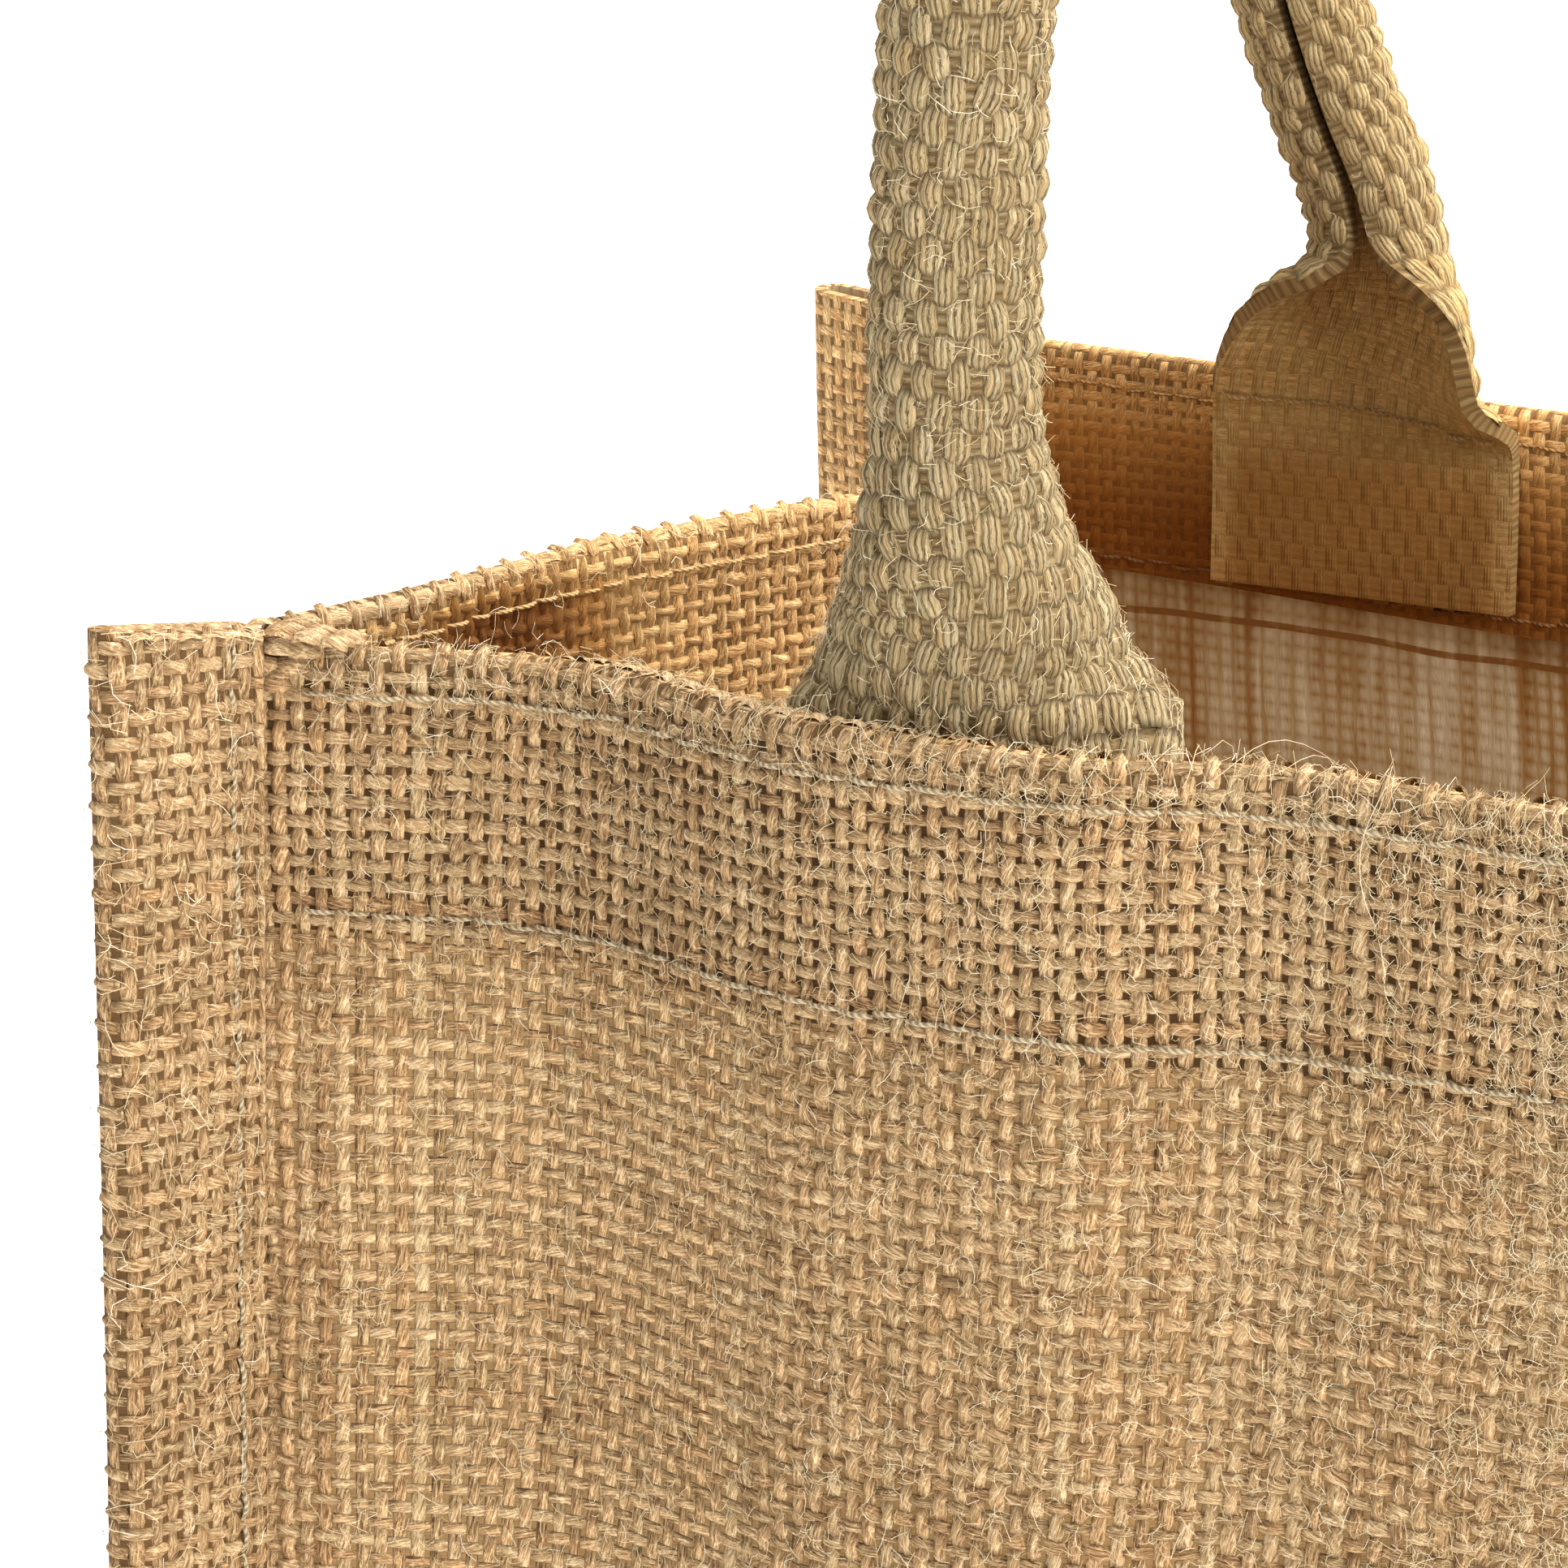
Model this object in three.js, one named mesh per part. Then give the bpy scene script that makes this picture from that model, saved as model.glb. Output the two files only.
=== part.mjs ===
// A jute tote bag, standing open with both handles up.
// One strip of laminated jute makes the front, the base and the back. A gusset on each side is
// wrapped round the strip's edges, and the two stand out together as a flange at every corner.
// Lengths are in millimetres: X runs along the front, Y from front to back and Z up.
import * as THREE from 'three';

// Driving dimensions of the bag
const WIDTH = 300;
const HEIGHT = 300;
const BASE_DEPTH = 186;
const HEM = 25.5;
const CLOTH = 1.5;
const GAP = 0.3;
const FLANGE = 16.5;
const GUSSET_FOLD = 38;
const GUSSET_RISE = 1.5;
const BASE_RADIUS = 5;

// Driving dimensions of the handles
const WEBBING_WIDTH = 36;
const WEBBING = 2.5;
const HANDLE_HEIGHT = 194;
const FRONT_HANDLE_MIDDLE = 6.7;
const BACK_HANDLE_MIDDLE = -5.8;

// The footprint's middle, measured from the middle of the base
const FOOTPRINT_MIDDLE_Y = -1.54;

// From the middle of one cloth layer to the middle of the next, and a bend round one layer
const LAYER = CLOTH + GAP;
const WRAP_CENTRE = FLANGE - CLOTH / 2 - LAYER;
const FOLD_RADIUS = LAYER / 2;
const FOLD_CENTRE = HEIGHT - CLOTH / 2 - FOLD_RADIUS;
const HALF_WIDTH = WIDTH / 2;
const HALF_BASE = BASE_DEPTH / 2;

// How far the front stands out of the straight line between its corners, at the rim
const FRONT_RIM = [
  { fromLeft: 0, outward: 0, sag: 0 },
  { fromLeft: 12, outward: -2.2, sag: 0 },
  { fromLeft: 24, outward: -4.4, sag: 0 },
  { fromLeft: 35, outward: -2.6, sag: 0 },
  { fromLeft: 46, outward: 2.8, sag: 0 },
  { fromLeft: 56, outward: 7.4, sag: 0 },
  { fromLeft: 68, outward: 9.5, sag: 0 },
  { fromLeft: 82, outward: 11.2, sag: 0 },
  { fromLeft: 97, outward: 7.4, sag: 0.1 },
  { fromLeft: 111, outward: 8.4, sag: 0.4 },
  { fromLeft: 150, outward: 10, sag: 1.4 },
  { fromLeft: 200, outward: 11, sag: 1.8 },
  { fromLeft: 236, outward: 6, sag: 1 },
  { fromLeft: 262, outward: -1, sag: 0.4 },
  { fromLeft: 280, outward: -3, sag: 0 },
  { fromLeft: 300, outward: 0, sag: 0 },
];

// The same for the back, which is drawn in between its corners
const BACK_RIM = [
  { fromLeft: 0, outward: 0, sag: 0 },
  { fromLeft: 16, outward: -1, sag: 0.5 },
  { fromLeft: 40, outward: -5, sag: 1 },
  { fromLeft: 75, outward: -10, sag: 2.4 },
  { fromLeft: 110, outward: -12, sag: 3 },
  { fromLeft: 160, outward: -11, sag: 3.2 },
  { fromLeft: 220, outward: -8, sag: 2.2 },
  { fromLeft: 270, outward: -3, sag: 0.6 },
  { fromLeft: 300, outward: 0, sag: 0 },
];

// How much of the rim's waves is left lower down, how far the panels belly out there, and the
// share of their full angle to which the corner flanges are turned
const PANEL_HEIGHTS = [
  { height: 0, waves: 0, belly: 0, turned: 0.72 },
  { height: 20, waves: 0.1, belly: 1, turned: 0.78 },
  { height: 80, waves: 0.4, belly: 4, turned: 0.92 },
  { height: 150, waves: 0.68, belly: 5, turned: 1.05 },
  { height: 225, waves: 0.9, belly: 3, turned: 1.1 },
  { height: 300, waves: 1, belly: 0, turned: 1 },
];

// The gusset's fold seen from above: the share of its depth, from a corner to the middle crease
const GUSSET_PLAN = [
  { share: 0, inward: 0 },
  { share: 0.23, inward: 0.2 },
  { share: 0.38, inward: 0.3 },
  { share: 0.55, inward: 0.43 },
  { share: 0.71, inward: 0.6 },
  { share: 0.88, inward: 0.8 },
  { share: 1, inward: 1 },
];

// The corner flanges: degrees from the line of the panel, and how far the outer edge stands
// above the rim's corner
const CORNER_FLANGES = {
  left: { front: { angle: 60, above: 2 }, back: { angle: 23, above: 0.8 } },
  right: { front: { angle: 52, above: 1.6 }, back: { angle: 40, above: 1.2 } },
};
const BASE_FLANGE_ANGLE = 7;

// A handle's route above the rim, from its sewn end to its top, how far round the webbing is
// rolled, and how far the roll is turned about the route
const FRONT_HANDLE = [
  { across: 86.2, above: -24.5, roll: 6, turn: 0 },
  { across: 86.2, above: -12, roll: 6, turn: 0 },
  { across: 86.2, above: -1, roll: 22, turn: 4 },
  { across: 86.5, above: 4, roll: 151, turn: 14 },
  { across: 86.1, above: 8.5, roll: 192, turn: 17.5 },
  { across: 86.5, above: 13.5, roll: 236.5, turn: 24.5 },
  { across: 87.4, above: 18.5, roll: 288, turn: 20.5 },
  { across: 88.2, above: 23.5, roll: 335, turn: 14 },
  { across: 88.2, above: 29, roll: 349, turn: 16.5 },
  { across: 87.8, above: 38, roll: 351, turn: 20 },
  { across: 87, above: 61, roll: 351, turn: 18 },
  { across: 84.8, above: 88, roll: 351, turn: 15 },
  { across: 80.2, above: 116, roll: 351, turn: 10 },
  { across: 70.8, above: 144, roll: 351, turn: 6 },
  { across: 54.8, above: 169, roll: 351, turn: 3 },
  { across: 30, above: 187.5, roll: 351, turn: 0 },
  { across: 0, above: HANDLE_HEIGHT, roll: 351, turn: 0 },
];
const BACK_HANDLE = [
  { across: 87.2, above: -25, roll: 6, turn: 0 },
  { across: 87.2, above: -12, roll: 6, turn: 0 },
  { across: 87.2, above: -4, roll: 26, turn: 0 },
  { across: 86.6, above: 1, roll: 112, turn: 0 },
  { across: 85.4, above: 5.5, roll: 160, turn: 0 },
  { across: 84.6, above: 10, roll: 210, turn: 0 },
  { across: 84.6, above: 15, roll: 326, turn: 0 },
  { across: 86.2, above: 22, roll: 348, turn: 0 },
  { across: 89.7, above: 30, roll: 351, turn: 0 },
  { across: 94.5, above: 43, roll: 351, turn: 0 },
  { across: 100, above: 64, roll: 351, turn: 0 },
  { across: 102, above: 87, roll: 351, turn: 0 },
  { across: 98, above: 112, roll: 351, turn: 0 },
  { across: 85.5, above: 139, roll: 351, turn: 0 },
  { across: 63, above: 162, roll: 351, turn: 0 },
  { across: 34, above: 175, roll: 351, turn: 0 },
  { across: 0, above: 179, roll: 351, turn: 0 },
];

// Mesh spacing
const WAVY_WIDTH = 112;
const WAVY_STEPS = 15;
const PLAIN_STEPS = 13;
const CORNER_MARGIN = 5;
const LOWEST_LEVEL = BASE_RADIUS + CLOTH / 2;
const PANEL_LEVELS = [
  FOLD_CENTRE, 288, 274.5, 256, 232, 202, 168, 130, 92, 56, 28, 12, LOWEST_LEVEL,
];
const HEM_LEVELS = [HEIGHT - HEM, HEIGHT - HEM / 2];
const FOLD_ANGLES = [45, 90, 135];
const BASE_STEPS = 8;
const BEND_SHARES = [0.25, 0.5, 0.75];
const WEBBING_STEPS = 12;

const radians = THREE.MathUtils.degToRad;
const lerp = THREE.MathUtils.lerp;
const smoothstep = THREE.MathUtils.smoothstep;

// Reads one column of a table as a smooth function of another
function smoothColumn(table, from, to) {
  const places = table.map((row) => row[from]);
  const values = table.map((row) => row[to]);
  const curve = new THREE.CubicInterpolant(places, values, 1);
  return (place) => curve.evaluate(place)[0];
}

const frontOutward = smoothColumn(FRONT_RIM, 'fromLeft', 'outward');
const frontSag = smoothColumn(FRONT_RIM, 'fromLeft', 'sag');
const backOutward = smoothColumn(BACK_RIM, 'fromLeft', 'outward');
const backSag = smoothColumn(BACK_RIM, 'fromLeft', 'sag');
const wavesLeft = smoothColumn(PANEL_HEIGHTS, 'height', 'waves');
const bellyOut = smoothColumn(PANEL_HEIGHTS, 'height', 'belly');
const flangeTurned = smoothColumn(PANEL_HEIGHTS, 'height', 'turned');
const foldPlan = smoothColumn(GUSSET_PLAN, 'share', 'inward');

// The gusset's crease goes deepest at the mouth, and that draws the corners together there
const foldDepth = (z) => GUSSET_FOLD * Math.pow(Math.max(z, 0) / HEIGHT, 0.75);
const cornerReach = (z) => Math.sqrt(HALF_BASE ** 2 - foldDepth(z) ** 2);

// The base lies flat, and lifts a little beside its end seams, which are thicker
const SEAM_LIFT = 2.6;
const SEAM_LIFT_WIDTH = 22;
const baseLift = (x) => SEAM_LIFT * smoothstep(Math.abs(x), HALF_WIDTH - SEAM_LIFT_WIDTH, HALF_WIDTH);

// A point in the middle of the front (end -1) or back (end 1) panel's thickness
function panelPoint(end, x, level) {
  const fromLeft = x + HALF_WIDTH;
  const outward = end < 0 ? frontOutward(fromLeft) : backOutward(fromLeft);
  const sag = end < 0 ? frontSag(fromLeft) : backSag(fromLeft);
  const belly = bellyOut(level) * Math.sin((Math.PI * fromLeft) / WIDTH);
  const y = end * (cornerReach(level) + outward * wavesLeft(level) + belly);
  const lift = baseLift(x) * (1 - smoothstep(level, BASE_RADIUS, HEIGHT / 4));
  const z = level - sag * (level / HEIGHT) ** 3 + lift;
  return new THREE.Vector3(x, y, z);
}

// The outward direction of a panel, level, at its rim
function panelOutward(end, x, level) {
  const step = 1;
  const before = panelPoint(end, Math.max(x - step, -HALF_WIDTH), level);
  const after = panelPoint(end, Math.min(x + step, HALF_WIDTH), level);
  const along = after.sub(before).setZ(0).normalize();
  return new THREE.Vector3(-along.y, along.x, 0).multiplyScalar(end);
}

// The strip's stations from the front rim, under the base, to the back rim
const baseY = (k) => lerp(-HALF_BASE + BASE_RADIUS, HALF_BASE - BASE_RADIUS, k / BASE_STEPS);
const STATIONS = [
  ...PANEL_LEVELS.map((level) => ({ end: -1, level })),
  ...BEND_SHARES.map((bend) => ({ end: -1, bend })),
  ...Array.from({ length: BASE_STEPS + 1 }, (_, k) => ({ end: 0, y: baseY(k) })),
  ...BEND_SHARES.map((bend) => ({ end: 1, bend })).reverse(),
  ...PANEL_LEVELS.map((level) => ({ end: 1, level })).reverse(),
];

function stripPoint(station, x) {
  if (station.level !== undefined) return panelPoint(station.end, x, station.level);
  const floor = CLOTH / 2 + baseLift(x);
  if (station.bend) {
    const angle = (Math.PI / 2) * station.bend;
    const y = station.end * (HALF_BASE - BASE_RADIUS * (1 - Math.cos(angle)));
    return new THREE.Vector3(x, y, floor + BASE_RADIUS * (1 - Math.sin(angle)));
  }
  return new THREE.Vector3(x, station.y, floor);
}

// The direction in which the flange stands out at a station, on the left (-1) or right (1) side
const EARLY_TURN = 0.3;
const EASED_HEIGHT = 40;

function cornerFlange(station, side) {
  const corners = side < 0 ? CORNER_FLANGES.left : CORNER_FLANGES.right;
  return station.end < 0 ? corners.front : corners.back;
}

function flangeDirection(station, side) {
  const slope = radians(BASE_FLANGE_ANGLE);
  const sideways = new THREE.Vector3(side * Math.cos(slope), 0, Math.sin(slope));
  if (station.end === 0) return sideways;
  const angle = radians(cornerFlange(station, side).angle * flangeTurned(station.level ?? 0));
  const upright = new THREE.Vector3(side * Math.cos(angle), station.end * Math.sin(angle), 0);
  const early = EARLY_TURN * (1 - smoothstep(station.level ?? 0, BASE_RADIUS, EASED_HEIGHT));
  return upright.lerp(sideways, lerp(early, 1, station.bend ?? 0)).normalize();
}

// Round the base's corners the gusset stands a little further off the strip's edge
const BEND_EASE = 1.1;

function bendEase(station) {
  if (station.end === 0) return 0;
  return BEND_EASE * (1 - smoothstep(station.level ?? 0, BASE_RADIUS, EASED_HEIGHT));
}

// Gives a sheet of four-sided faces its thickness, half to each side, as one closed solid.
// At a crease the offset is lengthened, as at a mitre, so that the cloth keeps its thickness.
function clothSolid(points, faces, thickness) {
  const normals = points.map(() => new THREE.Vector3());
  const meeting = points.map(() => []);
  for (const face of faces) {
    const [a, b, c, d] = face.map((k) => points[k]);
    const normal = new THREE.Vector3().crossVectors(
      new THREE.Vector3().subVectors(c, a),
      new THREE.Vector3().subVectors(d, b),
    ).normalize();
    for (const k of face) {
      normals[k].add(normal);
      meeting[k].push(normal);
    }
  }
  const offsets = normals.map((normal, k) => {
    normal.normalize();
    const least = Math.min(...meeting[k].map((other) => other.dot(normal)));
    return normal.clone().multiplyScalar(thickness / 2 / Math.max(least, 0.7));
  });
  const count = points.length;
  const positions = [];
  for (const sign of [1, -1]) {
    points.forEach((point, k) => {
      positions.push(...point.clone().addScaledVector(offsets[k], sign).toArray());
    });
  }
  const index = [];
  const borders = new Map();
  for (const [a, b, c, d] of faces) {
    index.push(a, b, c, a, c, d);
    index.push(a + count, c + count, b + count, a + count, d + count, c + count);
    for (const [from, to] of [[a, b], [b, c], [c, d], [d, a]]) {
      if (borders.has(`${to} ${from}`)) borders.delete(`${to} ${from}`);
      else borders.set(`${from} ${to}`, [from, to]);
    }
  }
  for (const [from, to] of borders.values()) {
    index.push(to, from, from + count, to, from + count, to + count);
  }
  const geometry = new THREE.BufferGeometry();
  geometry.setAttribute('position', new THREE.Float32BufferAttribute(positions, 3));
  geometry.setIndex(index);
  geometry.computeVertexNormals();
  return geometry;
}

// Collects a sheet's points and faces
class Sheet {
  constructor() {
    this.points = [];
    this.faces = [];
  }

  point(place) {
    this.points.push(place);
    return this.points.length - 1;
  }

  // Joins rows of point numbers by four-sided faces
  weave(rows) {
    for (let i = 0; i + 1 < rows.length; i++) {
      for (let j = 0; j + 1 < rows[i].length; j++) {
        this.faces.push([rows[i][j], rows[i + 1][j], rows[i + 1][j + 1], rows[i][j + 1]]);
      }
    }
  }

  solid(thickness, flip = false) {
    const faces = flip ? this.faces.map((face) => [...face].reverse()) : this.faces;
    return clothSolid(this.points, faces, thickness);
  }
}

// A hem: round the rim fold and down the inside, from the rim points and their inward directions
function hemRows(sheet, rim, inward) {
  const rows = FOLD_ANGLES.map((degrees) => rim.map((number, k) => {
    const angle = radians(degrees);
    const place = sheet.points[number].clone();
    place.addScaledVector(inward[k], FOLD_RADIUS * (1 - Math.cos(angle)));
    place.z += FOLD_RADIUS * Math.sin(angle);
    return sheet.point(place);
  }));
  for (const level of [FOLD_CENTRE, ...HEM_LEVELS.toReversed()]) {
    rows.push(rim.map((number, k) => {
      const place = sheet.points[number].clone().addScaledVector(inward[k], LAYER);
      place.z += level - FOLD_CENTRE;
      return sheet.point(place);
    }));
  }
  return rows;
}

// Front, base and back in one strip, with the seam allowances that stand in the flanges
function makeBody() {
  const across = [-HALF_WIDTH];
  for (let k = 0; k < WAVY_STEPS; k++) {
    across.push(-HALF_WIDTH + lerp(CORNER_MARGIN, WAVY_WIDTH, k / WAVY_STEPS));
  }
  for (let k = 0; k <= PLAIN_STEPS; k++) {
    across.push(lerp(-HALF_WIDTH + WAVY_WIDTH, HALF_WIDTH - CORNER_MARGIN, k / PLAIN_STEPS));
  }
  across.push(HALF_WIDTH);
  const sheet = new Sheet();
  const rows = STATIONS.map((station) => {
    const left = stripPoint(station, -HALF_WIDTH);
    const right = stripPoint(station, HALF_WIDTH);
    const leftOut = flangeDirection(station, -1);
    const rightOut = flangeDirection(station, 1);
    const reach = WRAP_CENTRE - bendEase(station);
    return [
      sheet.point(left.clone().addScaledVector(leftOut, reach)),
      sheet.point(left.clone().addScaledVector(leftOut, reach / 2)),
      ...across.map((x) => sheet.point(stripPoint(station, x))),
      sheet.point(right.clone().addScaledVector(rightOut, reach / 2)),
      sheet.point(right.clone().addScaledVector(rightOut, reach)),
    ];
  });
  sheet.weave(rows);
  const hemmed = across.slice(1, -1);
  const firstHemmed = 3;
  for (const end of [-1, 1]) {
    const top = end < 0 ? rows[0] : rows[rows.length - 1];
    const rim = top.slice(firstHemmed, firstHemmed + hemmed.length);
    const inward = hemmed.map((x) => panelOutward(end, x, FOLD_CENTRE).negate());
    const hem = [rim, ...hemRows(sheet, rim, inward)];
    sheet.weave(end < 0 ? hem.reverse() : hem);
  }
  return sheet.solid(CLOTH);
}

// A side gusset, creased inwards along its middle, hemmed at the mouth and wrapped round the
// strip's edge. Its wrap is laid over the panels for a little way past the corner line.
const WRAP_START = 1.3;
const WRAP_OVERLAP = 1.9;
const WRAP_EASE = 0.1;

function makeGusset(side) {
  const sheet = new Sheet();
  const nearRim = (level) => smoothstep(level ?? 0, HEIGHT * 0.8, HEIGHT);
  const stations = STATIONS.map((station, k) => {
    const corner = stripPoint(station, side * HALF_WIDTH);
    const before = stripPoint(STATIONS[Math.max(k - 1, 0)], side * HALF_WIDTH);
    const after = stripPoint(STATIONS[Math.min(k + 1, STATIONS.length - 1)], side * HALF_WIDTH);
    const out = flangeDirection(station, side);
    const down = after.sub(before).normalize();
    const facing = new THREE.Vector3().crossVectors(down, out).multiplyScalar(-side).normalize();
    const inside = stripPoint(station, side * (HALF_WIDTH - CORNER_MARGIN));
    const along = inside.sub(corner).normalize();
    const away = new THREE.Vector3().crossVectors(along, down).multiplyScalar(side).normalize();
    // The flanges' upper edge is level with the crest of the hem beside them
    const crest = station.level === FOLD_CENTRE ? HEIGHT - FOLD_CENTRE : 0;
    const lift = GUSSET_RISE * nearRim(station.level) + crest;
    const slope = (cornerFlange(station, side).above * nearRim(station.level)) / FLANGE;
    const apart = LAYER + WRAP_EASE + bendEase(station);
    return { corner, out, facing, along, away, lift, slope, apart };
  });
  const flange = stations.map(({ corner, out, facing, along, away, lift, slope, apart }) => {
    const place = (reach, height) => {
      const point = corner.clone().addScaledVector(out, reach).addScaledVector(facing, height);
      point.z += lift + slope * reach;
      return sheet.point(point);
    };
    const bend = FOLD_ANGLES.map((degrees) => place(
      WRAP_CENTRE + LAYER * Math.sin(radians(degrees)),
      apart * Math.cos(radians(degrees)),
    ));
    const last = corner.clone().addScaledVector(along, WRAP_OVERLAP).addScaledVector(away, apart);
    last.z += lift;
    return [
      place(0, apart),
      place(WRAP_CENTRE / 2, apart),
      place(WRAP_CENTRE, apart),
      ...bend,
      place(WRAP_CENTRE, -apart),
      place(WRAP_CENTRE / 2, -apart),
      place(WRAP_START, -apart),
      sheet.point(last),
    ];
  });
  sheet.weave(flange);

  // The panel between the flanges: its rows run from the front seam to the back seam
  const seam = flange.map((row) => row[0]);
  const lowest = PANEL_LEVELS.length + Math.floor(BEND_SHARES.length / 2);
  const bottom = seam.slice(lowest, seam.length - lowest);
  const shares = bottom.map((number) => (sheet.points[number].y + HALF_BASE) / BASE_DEPTH);
  const panel = [];
  for (let i = 0; i < lowest; i++) {
    const front = seam[i];
    const back = seam[seam.length - 1 - i];
    const from = sheet.points[front];
    const to = sheet.points[back];
    const depth = foldDepth(PANEL_LEVELS[i] ?? 0);
    const crest = i === 0 ? HEIGHT - FOLD_CENTRE : 0;
    const row = shares.slice(1, -1).map((share) => {
      const place = from.clone().lerp(to, share);
      place.x -= side * depth * foldPlan(1 - Math.abs(2 * share - 1));
      place.z -= crest;
      return sheet.point(place);
    });
    panel.push([front, ...row, back]);
  }
  panel.push(bottom);
  sheet.weave(panel.map((row) => [...row].reverse()));

  // The hem leaves out the last few millimetres beside each seam
  const rim = panel[0].slice(1, -1);
  const inward = rim.map((_, k) => {
    const before = sheet.points[panel[0][k]];
    const after = sheet.points[panel[0][k + 2]];
    const run = after.clone().sub(before).setZ(0).normalize();
    return new THREE.Vector3(run.y, -run.x, 0).multiplyScalar(-side);
  });
  const hem = [rim, ...hemRows(sheet, rim, inward)];
  sheet.weave(hem.reverse().map((row) => [...row].reverse()));
  return sheet.solid(CLOTH, side > 0);
}

// A handle: webbing sewn flat inside the hem at both ends and rolled to a tube between them.
// The roll opens towards the inside of the bag, which is where the middle of the tube lies.
const FREE_ABOVE_RIM = 16;
const SEWN_EASE = 0.25;

function makeHandle(end, middle, route) {
  const sheet = new Sheet();
  const legs = [
    ...route.map((row) => ({ ...row, side: -1 })),
    ...route.slice(0, -1).reverse().map((row) => ({ ...row, side: 1 })),
  ];
  const inward = new THREE.Vector3(0, -end, 0);
  const clearance = LAYER + CLOTH / 2 + GAP + SEWN_EASE + WEBBING / 2;
  const sewnY = (x) => {
    const panel = panelPoint(end, x, FOLD_CENTRE);
    return panel.y - end * clearance / Math.abs(panelOutward(end, x, FOLD_CENTRE).y);
  };
  const ends = [-1, 1].map((side) => middle + side * route[0].across);
  const places = legs.map(({ across, above, side }) => {
    const x = middle + side * across;
    const share = THREE.MathUtils.clamp((x - ends[0]) / (ends[1] - ends[0]), 0, 1);
    const y = lerp(sewnY(ends[0]), sewnY(ends[1]), share);
    return new THREE.Vector3(x, y, HEIGHT + above);
  });
  const rows = legs.map(({ roll, above, turn, side }, k) => {
    const before = places[Math.max(k - 1, 0)];
    const after = places[Math.min(k + 1, places.length - 1)];
    const along = after.clone().sub(before).setY(0).normalize();
    const facing = inward.clone().applyAxisAngle(along, radians(-side * turn));
    const sideways = new THREE.Vector3().crossVectors(facing, along).normalize();
    const follows = 1 - smoothstep(above, 1, FREE_ABOVE_RIM);
    const angle = radians(roll);
    const radius = WEBBING_WIDTH / angle;
    const row = [];
    for (let step = 0; step <= WEBBING_STEPS; step++) {
      const round = angle * (step / WEBBING_STEPS - 0.5);
      const point = places[k].clone().addScaledVector(sideways, radius * Math.sin(round));
      point.y += follows * (sewnY(point.x) - sewnY(places[k].x));
      point.addScaledVector(facing, radius * (1 - Math.cos(round)));
      row.push(sheet.point(point));
    }
    return row;
  });
  sheet.weave(rows);
  return sheet.solid(WEBBING);
}

const JUTE = new THREE.MeshStandardMaterial({ color: '#bf9c70', roughness: 0.95, metalness: 0 });
const SIDE_JUTE = new THREE.MeshStandardMaterial({ color: '#c09e74', roughness: 0.95, metalness: 0 });
const WEBBING_JUTE = new THREE.MeshStandardMaterial({ color: '#b69e74', roughness: 0.9, metalness: 0 });

const bag = new THREE.Group();
function addPiece(name, geometry, material) {
  const piece = new THREE.Mesh(geometry, material);
  piece.name = name;
  piece.position.y = -FOOTPRINT_MIDDLE_Y;
  bag.add(piece);
}

addPiece('body', makeBody(), JUTE);
addPiece('gusset_left', makeGusset(-1), SIDE_JUTE);
addPiece('gusset_right', makeGusset(1), SIDE_JUTE);
addPiece('handle_front', makeHandle(-1, FRONT_HANDLE_MIDDLE, FRONT_HANDLE), WEBBING_JUTE);
addPiece('handle_back', makeHandle(1, BACK_HANDLE_MIDDLE, BACK_HANDLE), WEBBING_JUTE);

export default bag;
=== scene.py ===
import math

import bpy
import numpy as np
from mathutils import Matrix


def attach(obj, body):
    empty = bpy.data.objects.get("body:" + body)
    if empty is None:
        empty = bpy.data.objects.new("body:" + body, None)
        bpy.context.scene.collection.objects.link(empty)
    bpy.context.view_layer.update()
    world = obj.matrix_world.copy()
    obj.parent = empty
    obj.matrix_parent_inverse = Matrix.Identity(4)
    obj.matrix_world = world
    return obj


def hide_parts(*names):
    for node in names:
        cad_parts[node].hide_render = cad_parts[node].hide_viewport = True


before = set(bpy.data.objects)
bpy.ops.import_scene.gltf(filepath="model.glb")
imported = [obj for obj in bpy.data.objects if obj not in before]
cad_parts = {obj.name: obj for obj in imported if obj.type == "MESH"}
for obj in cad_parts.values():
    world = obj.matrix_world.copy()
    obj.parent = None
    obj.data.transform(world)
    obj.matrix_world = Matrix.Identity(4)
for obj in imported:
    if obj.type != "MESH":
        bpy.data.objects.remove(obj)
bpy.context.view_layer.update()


# ---------------------------------------------------------------------------------------------
# Front, base and back: one strip of coarse plain-woven jute, laminated on the inside with thin
# clear film. Both ends are folded to the inside as hems, and the side edges stand in the seams.
# Lengths are in millimetres. The solids' cloth is CLOTH thick; SHELL is the sheet under its yarns
WIDTH = 300.0
HEIGHT = 300.0
BASE_DEPTH = 186.0
HEM = 25.5
CLOTH = 1.5
SHELL = 1.2
GAP = 0.3
FLANGE = 16.5
SEAM_ALLOWANCE = 14.0
BASE_RADIUS = 5.0
BASE_LIFT = 2.6
LAYER = CLOTH + GAP
WRAP_CENTRE = FLANGE - CLOTH / 2 - LAYER
FOLD_RADIUS = LAYER / 2
FOLD_CENTRE = HEIGHT - CLOTH / 2 - FOLD_RADIUS
FOLD_RUN = 2.8
HALF_WIDTH = WIDTH / 2
HALF_BASE = BASE_DEPTH / 2
GUSSET_FOLD = 38.0
FOOTPRINT_MIDDLE = (0.0, -1.54, 0.0)
THREAD_PITCH = 1.8

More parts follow.
